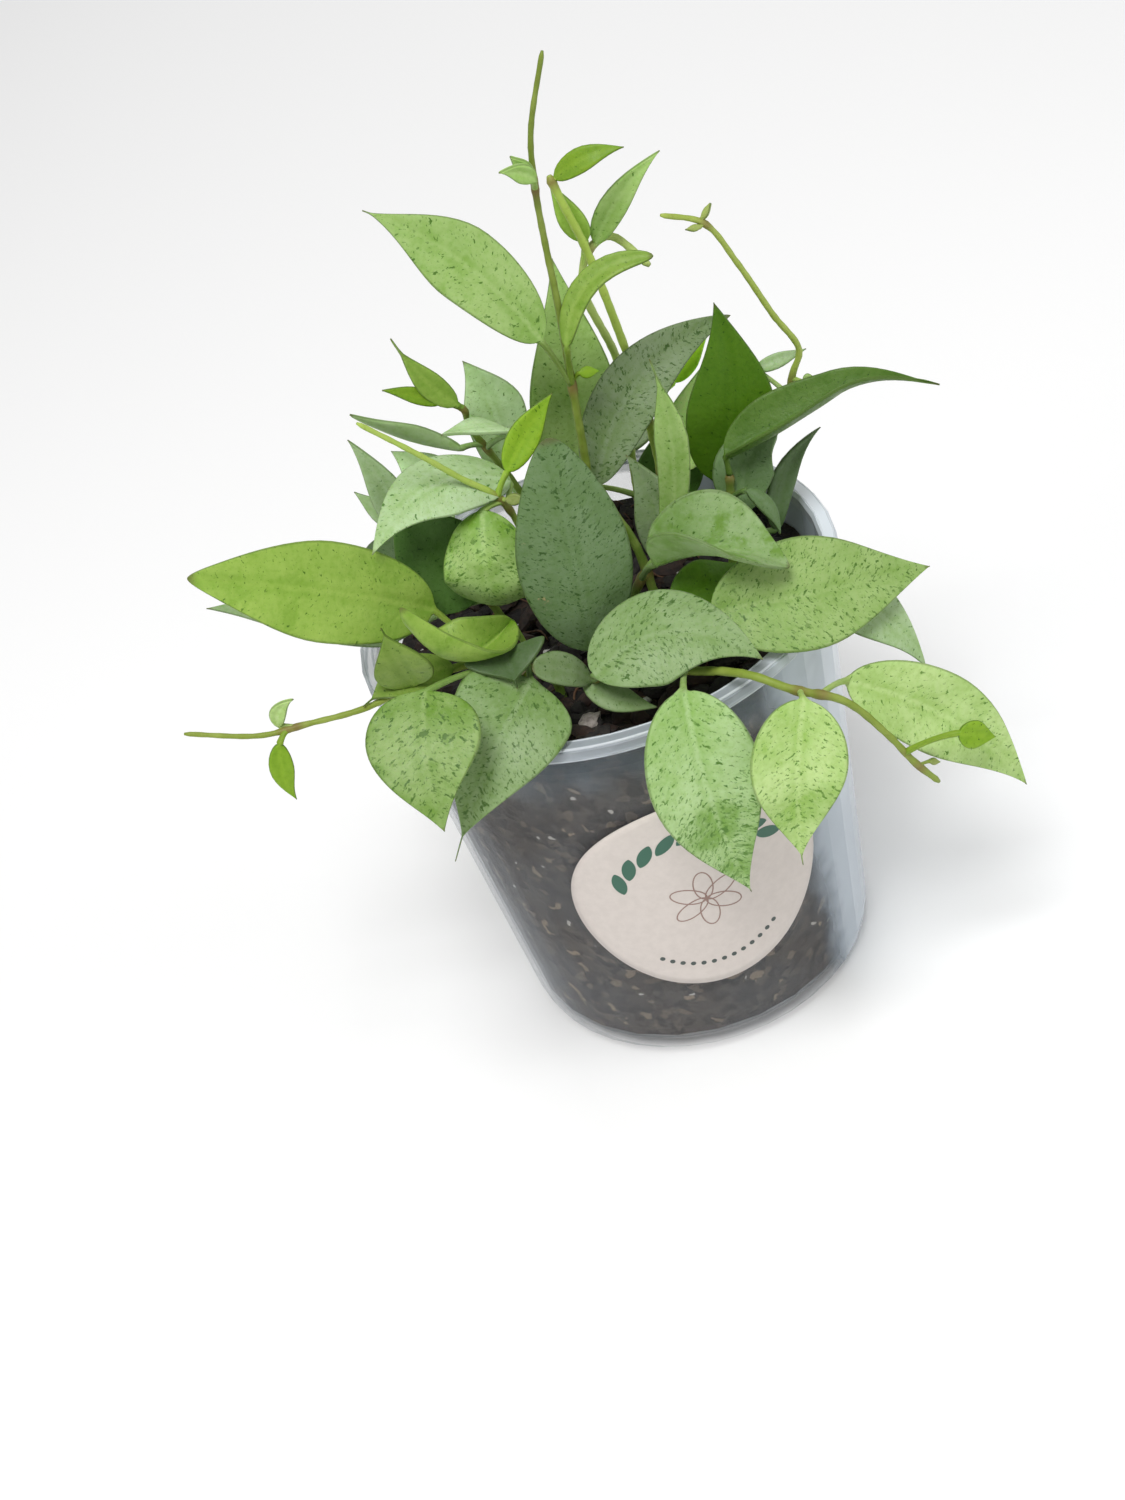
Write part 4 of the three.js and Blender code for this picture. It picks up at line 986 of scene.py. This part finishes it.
def crumb(rng, size, lengthen):
    """An irregular lump: a squashed, turned and roughened ball."""
    points, faces = [], []
    rings, around = 5, 7
    stretch = (rng.uniform(0.8, lengthen), rng.uniform(0.6, 1), rng.uniform(0.35, 0.75))
    turn = Matrix.Rotation(rng.uniform(0, 6.3), 3, "Z") @ Matrix.Rotation(rng.uniform(-0.5, 0.5), 3, "X")
    for i in range(1, rings):
        ring, high = math.sin(math.pi * i / rings), math.cos(math.pi * i / rings)
        for j in range(around):
            x, y = polar(ring, 2 * math.pi * j / around)
            p = Vector((x * stretch[0], y * stretch[1], high * stretch[2]))
            points.append(turn @ (p * size * rng.uniform(0.75, 1.15)))
    points += [turn @ Vector((0, 0, size * stretch[2])), turn @ Vector((0, 0, -size * stretch[2]))]
    top, bottom, low = len(points) - 2, len(points) - 1, (rings - 2) * around
    for j in range(around):
        k = (j + 1) % around
        faces += [(a + j, a + around + j, a + around + k, a + k) for a in range(0, low, around)]
        faces += [(top, j, k), (low + j, bottom, low + k)]
    return points, faces


def scatter(name, count, sizes, lengthen, materials, seed, sink=0.35):
    """Crumbs strewn over the mix."""
    rng = random.Random(seed)
    points, faces, numbers = [], [], []
    for _ in range(count):
        size = rng.uniform(*sizes)
        radius = BARK_REACH * math.sqrt(rng.random()) - size
        x, y = polar(radius, rng.uniform(0, 2 * math.pi))
        middle = Vector((x, y, soil_height(x, y) + size * sink))
        lump, lump_faces = crumb(rng, size, lengthen)
        faces += [tuple(i + len(points) for i in face) for face in lump_faces]
        numbers += [rng.randrange(len(materials))] * len(lump_faces)
        points += [tuple(p + middle) for p in lump]
    piece(name, points, faces, materials, "potting_mix", False, numbers)


def thread(route, radius):
    """The loops of a round thread, thinner at its ends."""
    sizes = [radius * (0.5 + 0.5 * math.sin(math.pi * (i + 0.5) / len(route))) for i in range(len(route))]
    return tube(route, sizes, THREAD_SIDES, (0.3, 0.2, 1))


def fibres(name, count, made, seed):
    """Fine curved root and coir threads that lie on the soil."""
    rng = random.Random(seed)
    points, faces = [], []
    for _ in range(count):
        x, y = polar(FIBRE_REACH * math.sqrt(rng.random()), rng.uniform(0, 2 * math.pi))
        heading, bend = rng.uniform(0, 2 * math.pi), rng.uniform(-0.25, 0.25)
        route = []
        for i in range(FIBRE_POINTS):
            arch = math.sin(math.pi * i / (FIBRE_POINTS - 1))
            route.append(np.array((x, y, soil_height(x, y) + 0.4 + 1.4 * arch)))
            x, y = x + FIBRE_STEP * math.cos(heading), y + FIBRE_STEP * math.sin(heading)
            heading += bend
            back = min(1, FIBRE_LIMIT / math.hypot(x, y))
            x, y = x * back, y * back
        more_points, more_faces = skin(thread(route, rng.uniform(0.14, 0.3)), len(points))
        points += more_points
        faces += more_faces
    piece(name, points, faces, [made], "potting_mix")


# Bark in its own dark browns and greys, made darker still as painted shade on the mix's top.
bark = [plain_material("bark_dark", (12, 10, 10), (28, 22, 20), 700, 0.8),
        plain_material("bark_brown", (26, 17, 13), (56, 36, 27), 600, 0.75),
        plain_material("bark_grey", (24, 21, 21), (50, 45, 42), 800, 0.85)]
scatter("soil_bark", 620, (0.9, 3.2), 1.9, bark, 11)
perlite = plain_material("perlite", (190, 188, 182), (228, 226, 220), 1500, 0.9)
scatter("soil_perlite", 34, (0.6, 1.5), 1.2, [perlite], 5, 0.5)
fibres("soil_fibres", 70, plain_material("fibre", (60, 40, 29), (104, 74, 52), 900, 0.8), 23)

root_route = [np.array((ROOT_MIDDLE[0] + ROOT_REACH * math.cos(a), ROOT_MIDDLE[1] + 0.8 * math.sin(2 * a),
                        SOIL_TOP + ROOT_RISE * math.sin(a))) for a in np.linspace(0, math.pi, 22)]
root = plain_material("root", (196, 182, 140), (222, 208, 168), 900, 0.6)
piece("pale_root", *skin(thread(root_route, ROOT_RADIUS)), [root], "potting_mix")
chip_points, chip_faces = crumb(random.Random(4), GREY_CHIP_SIZE, 1.5)
chip_points = [tuple(p + Vector(GREY_CHIP)) for p in chip_points]
pale_bark = plain_material("bark_pale", (112, 104, 98), (158, 150, 144), 700, 0.85)
piece("grey_chip", chip_points, chip_faces, [pale_bark], "potting_mix", False)


# Stage, light and world, in metres. A light: its name, place, the height it points at, size and power.

FLOOR_HALF = 3
FLOOR_GLOW = 0.08
WORLD_LIGHT = 0.27
LIGHTS = [
    ("key", (-0.15, -0.6, 1.3), 0.1, 0.5, 14),
    ("left", (-1.1, -0.5, 0.7), 0.1, 0.7, 2.8),
    ("right", (1.1, -0.4, 0.6), 0.1, 0.7, 3.2),
    ("back", (0.2, 1.1, 0.9), 0.12, 0.8, 3.6),
]
floor_mesh = bpy.data.meshes.new("floor")
corners = [(x * FLOOR_HALF, y * FLOOR_HALF, 0) for x, y in ((-1, -1), (1, -1), (1, 1), (-1, 1))]
floor_mesh.from_pydata(corners, [], [(0, 1, 2, 3)])
floor = add_object("floor", floor_mesh)
floor_mesh.materials.append(flat_material("floor", (246, 246, 246), 0.8, glow=FLOOR_GLOW))
floor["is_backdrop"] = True

for name, place, aim, size, watts in LIGHTS:
    lamp = bpy.data.lights.new(name, "AREA")
    lamp.size = size
    lamp.energy = watts
    made = add_object(name, lamp)
    made.location = place
    made.rotation_mode = "QUATERNION"
    made.rotation_quaternion = (Vector((0, 0, aim)) - Vector(place)).to_track_quat("-Z", "Y")
world = bpy.data.worlds.new("world")
world.use_nodes = True
background = world.node_tree.nodes["Background"].inputs
background[0].default_value = (1, 1, 1, 1)
background[1].default_value = WORLD_LIGHT
scene.world = world
scene.view_settings.view_transform = "Standard"

sizes = {"cad": [list(c) for c in cad_box], "visual": [list(c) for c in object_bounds()]}
